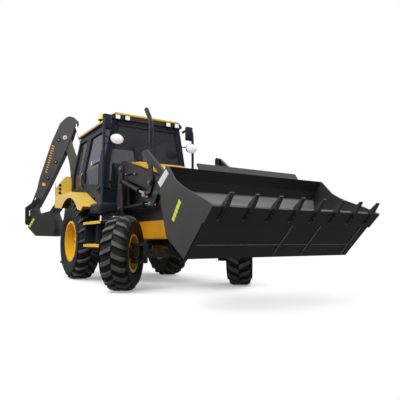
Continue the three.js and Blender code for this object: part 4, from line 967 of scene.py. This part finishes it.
def makeSteps(word, side):
    bm = bmesh.new()
    inner, outer = side * steps["inner"], side * steps["outer"]
    for start, end, low in steps["treads"]:
        addBox(bm, (start, inner, low + 0.0403), (end, outer, low + 0.0425))
        addBox(bm, (start, outer, low - 0.001), (end, outer + side * 0.002, low + 0.0425))
        for index in range(steps["studs"]):
            x = start + steps["margin"] + index * (end - start - 2 * steps["margin"]) / (steps["studs"] - 1)
            for y in steps["studRows"]:
                addDrum(bm, (x, side * y, low + 0.042), (x, side * y, low + 0.0475), 0.011, 0.008, 8)
    finishPiece(word + "StepTreads", bm, "chassis", "rim", 30)


hoodTrim = {"side": 0.4005, "louvres": 9, "louvreLow": 1.26, "louvrePitch": 0.03,
            "front": 2.7602, "bars": 7, "barLow": 1.26, "barPitch": 0.021}


def makeHoodDetails():
    spec = hoodTrim
    bm = bmesh.new()
    for side in (-1, 1):
        y = side * spec["side"]
        for index in range(spec["louvres"]):
            z = spec["louvreLow"] + index * spec["louvrePitch"]
            addBox(bm, (1.86, y, z), (2.55, y + side * 0.006, z + 0.014), 1)
        for z in (1.235, 1.525):
            addBox(bm, (1.83, y, z), (2.58, y + side * 0.003, z + 0.015))
        addDrum(bm, (1.15, y, 1.30), (1.15, y + side * 0.012, 1.30), 0.03, sides=20)
    finishPiece("hoodSideLouvres", bm, "hood_body", ["plastic", "dark"], 30, 0.001)
    bm = bmesh.new()
    x = spec["front"]
    for index in range(spec["bars"]):
        z = spec["barLow"] + index * spec["barPitch"]
        addBox(bm, (x, -0.33, z), (x + 0.0058, 0.33, z + 0.010))
    for y in (-0.34, 0, 0.34):
        addBox(bm, (x, y - 0.01, 1.25), (x + 0.0088, y + 0.01, 1.42))
    for z in (1.245, 1.413):
        addBox(bm, (x, -0.35, z), (x + 0.0088, 0.35, z + 0.012))
    finishPiece("hoodFrontGrille", bm, "hood_body", "plastic", 30, 0.001)


lampPlate = {"holes": (1.70, 1.78, 1.86), "holeY": 1.08, "edgeY": 1.1655, "lamp": (-1.0405, 1.0, 1.80)}


def makeRearLamps(word, side):
    spec = lampPlate
    bm = bmesh.new()
    # black discs at the holes: painted shade standing in for the dark inside of each hole
    for z in spec["holes"]:
        addDrum(bm, (-0.9848, side * spec["holeY"], z), (-0.980, side * spec["holeY"], z), 0.03)
    y = side * spec["edgeY"]
    addBox(bm, (-1.025, y - 0.0015, 1.66), (-0.992, y + 0.0015, 1.90), 1)
    finishPiece(word + "LampPlateHoles", bm, "chassis", ["plastic", "steel"], 30, 0.001)
    x, y, z = spec["lamp"]
    makeLamp(word + "RearLamp", (x, side * y, z), -1, 0.22, 0.10, 0.0, "beacon")


makeHoodDetails()
for word, side in sides.items():
    makeSteps(word, side)
    makeRearLamps(word, side)

towerPins = {"spots": ((1.22, 1.93), (1.17, 1.25)), "face": 0.62}
loaderTrim = {"tip": (3.84, 0.590, 0.84), "lever": (2.40, 0.631, 1.569), "hoseY": 0.606, "pipeY": 0.535,
              "hose": [(1.42, 1.81), (1.56, 1.805), (1.70, 1.79), (1.83, 1.765)],
              "pipe": [(1.40, 2.012), (1.9, 1.872), (2.6, 1.655), (2.9, 1.55)],
              "towerHose": [(1.02, 0.47, 1.32), (0.98, 0.55, 1.10), (1.06, 0.60, 0.98), (1.22, 0.64, 1.02)]}
bm = bmesh.new()
for side in (-1, 1):
    for x, z in towerPins["spots"]:
        y = side * towerPins["face"]
        addDrum(bm, (x, y, z), (x, y + side * 0.016, z), 0.062, 0.056, 28)
        addDrum(bm, (x, y, z), (x, y + side * 0.026, z), 0.03, 0.026, 20, 1)
finishPiece("towerPinCaps", bm, "chassis", ["charcoal", "steel"], 35, 0.001)
for word, side in sides.items():
    bm = bmesh.new()
    x, y, z = loaderTrim["tip"]
    addDrum(bm, (x, side * y, z), (x, side * (y + 0.004), z), 0.07, 0.068, 28)
    finishPiece(word + "ArmTipRing", bm, "loader", "charcoal", 35)
    bm = bmesh.new()
    x, y, z = loaderTrim["lever"]
    addDrum(bm, (x, side * y, z), (x, side * (y + 0.018), z), 0.052, 0.048, 28)
    addBolts(bm, [(x, side * (y + 0.016), z)], (0, side, 0), 0.018, 0.014, 1)
    finishPiece(word + "LeverPinCap", bm, "loader", ["charcoal", "steel"], 35, 0.001)
    hose = [(x, side * loaderTrim["hoseY"], z) for x, z in loaderTrim["hose"]]
    hosePiece(word + "ArmHose", hose, 0.014, "loader")
    pipe = [(x, side * loaderTrim["pipeY"], z) for x, z in loaderTrim["pipe"]]
    hosePiece(word + "ArmTopPipe", pipe, 0.013, "loader", "dark")
for word, side in reversed(sides.items()):
    hose = [(x, side * y, z) for x, y, z in loaderTrim["towerHose"]]
    hosePiece(word + "TowerHose", hose, 0.016, "chassis")
print("bodywork ready")


hoePlace = Matrix.Translation((-1.8, -0.36, 0)) @ Matrix.Rotation(math.radians(237), 4, "Z")
# pins and sheets lie in the digging plane, as reach and height; a face is its distance from that plane
hoe = {"dipperPins": ((0.551, 3.051), (0.605, 2.531), (0.78, 2.155)), "dipperFace": 0.1083,
       "elbow": (0.410, 3.110), "foot": (0.300, 0.950), "ram": (-0.100, 1.250), "postFace": 0.1123,
       "sheetFace": 0.1085, "bucketFace": 0.3005, "hoseY": 0.066,
       "hose": [(0.04, 1.55), (0.01, 2.05), (0.025, 2.30)], "clips": (1.72, 2.02, 2.28)}
hoeSheets = {"hatch": [(0.640, 2.93), (0.700, 2.945), (0.862, 2.26), (0.812, 2.25)],
             "square": [(0.845, 1.965), (0.915, 1.985), (0.900, 2.045), (0.830, 2.025)],
             "bucket": [(1.010, 1.222), (0.975, 1.192), (1.083, 0.998), (1.113, 1.030)]}


def makePinCaps(name, body, caps, face, look):
    # a cap with a pin end in it, on both faces of an arm
    bm = bmesh.new()
    for outward in (-1, 1):
        y = outward * face
        for (x, z), radius in caps:
            addDrum(bm, (x, y, z), (x, y + outward * 0.010, z), radius, radius * 0.94, 28)
            addDrum(bm, (x, y, z), (x, y + outward * 0.022, z), radius * 0.45, radius * 0.4, 20, 1)
    finishPiece(name, bm, body, [look, "steel"], 35, 0.001, hoePlace)


dipperCaps = [(spot, 0.045) for spot in hoe["dipperPins"]]
makePinCaps("elbowPinCaps", "dipper_arm", [(hoe["elbow"], 0.052)], hoe["dipperFace"], "white")
makePinCaps("dipperBosses", "dipper_arm", dipperCaps, hoe["dipperFace"], "dark")
makePinCaps("postPinCaps", "post", [(hoe["foot"], 0.055), (hoe["ram"], 0.045)], hoe["postFace"], "dark")
for outward, label in ((-1, "Inner"), (1, "Outer")):
    for name, line, face, body, look in (
            ("dipperHatchSheet", "hatch", hoe["sheetFace"], "dipper_arm", "hatchBars"),
            ("dipperSquareSheet", "square", hoe["sheetFace"], "dipper_arm", "reflector"),
            ("hoeBucketReflector", "bucket", hoe["bucketFace"], "hoe_bucket", "reflectorBars")):
        sidePanel(name + label, hoeSheets[line], outward * face, outward, body, look, hoePlace)
bm = bmesh.new()
for index, way in enumerate((-1, 1)):
    y = way * hoe["hoseY"]
    hosePiece(f"boomHose{index}", [(x, y, z) for x, z in hoe["hose"]], 0.012, "boom", place=hoePlace)
    for z in hoe["clips"]:
        addBox(bm, (0.01, y - 0.018, z), (0.06, y + 0.018, z + 0.03))
finishPiece("boomHoseClips", bm, "boom", "steel", 30, 0.002, hoePlace)
print("backhoe ready")


stageSpec = {"floor": 90.0, "nearFloor": 2.4, "farFloor": 4.2, "lens": 38.66,
             "camera": (8.100, -3.345, 0.719), "heading": 32.17, "pitch": 5.345}


def makeFloor():
    bm = bmesh.new()
    bmesh.ops.create_grid(bm, x_segments=1, y_segments=1, size=stageSpec["floor"])
    mesh = bpy.data.meshes.new("floor")
    bm.to_mesh(mesh)
    bm.free()
    floor = putIn(bpy.data.objects.new("floor", mesh))
    look = Look("floorPaint", Roughness=0.9)
    path = {name: look.add("LightPath", {}, {}, name) for name in ("Is Camera Ray", "Is Glossy Ray")}
    far = look.add("VectorMath", {"operation": "LENGTH"}, {0: look.place}, "Value")
    far = far.ramp(stageSpec["nearFloor"], stageSpec["farFloor"])
    matt = look.add("BsdfDiffuse", {}, {"Color": (0.80, 0.80, 0.80)})
    near = look.add("AddShader", {}, {0: look.glow(0.30), 1: matt})
    seen = look.add("MixShader", {}, {0: far, 1: near, 2: look.glow(1.0)})
    plain = look.add("BsdfDiffuse", {}, {"Color": (0.18, 0.18, 0.18)})
    other = look.add("MixShader", {}, {0: path["Is Glossy Ray"], 1: plain, 2: look.glow(0.25)})
    mixed = look.add("MixShader", {}, {0: path["Is Camera Ray"], 1: other, 2: seen})
    look.tree.links.new(mixed.socket, look.tree.nodes["Material Output"].inputs["Surface"])
    mesh.materials.append(look.material)


class Sky(Look):
    # the same node helpers on the world's tree
    def __init__(self, world):
        world.use_nodes = True
        self.tree = world.node_tree
        self.shader = self.tree.nodes["Background"]
        self.place = self.add("TexCoord", {}, {}, "Generated")


def makeWorld():
    world = bpy.data.worlds.new("studio")
    bpy.context.scene.world = world
    sky = Sky(world)
    height = sky.part("Z")
    dome = sky.mix(height.ramp(-0.25, 0.9), (0.12, 0.125, 0.13), (1.0, 1.0, 1.0))
    seen = sky.add("LightPath", {}, {}, "Is Camera Ray")
    sky.set(Color=sky.mix(seen, dome, (1.0, 1.0, 1.0)))


def addLamp(name, spot, target, size, energy):
    data = bpy.data.lights.new(name, "AREA")
    data.shape = "SQUARE"
    data.size = size
    data.energy = energy
    lamp = putIn(bpy.data.objects.new(name, data))
    lamp.location = rearAxlePlace + Vector(spot)
    lamp.rotation_euler = (Vector(target) - Vector(spot)).to_track_quat("-Z", "Y").to_euler()


def makeCamera():
    data = bpy.data.cameras.new("camera")
    data.lens = stageSpec["lens"]
    data.sensor_width = 36.0
    data.clip_end = 400.0
    camera = putIn(bpy.data.objects.new("camera", data))
    heading, pitch = math.radians(stageSpec["heading"]), math.radians(stageSpec["pitch"])
    level = math.cos(pitch)
    gaze = Vector((-math.cos(heading) * level, math.sin(heading) * level, math.sin(pitch)))
    camera.location = rearAxlePlace + Vector(stageSpec["camera"])
    camera.rotation_euler = gaze.to_track_quat("-Z", "Y").to_euler()
    bpy.context.scene.camera = camera


makeFloor()
makeWorld()
addLamp("keyLight", (5.5, -6.0, 8.5), (1.5, 0.0, 1.0), 5.0, 520.0)
addLamp("fillLight", (-4.0, -8.0, 6.0), (0.0, 0.0, 1.5), 6.0, 320.0)
addLamp("rimLight", (1.0, 7.0, 8.0), (1.0, 0.0, 1.5), 6.0, 320.0)
makeCamera()
bpy.context.scene.view_settings.view_transform = "Standard"
print("stage ready")
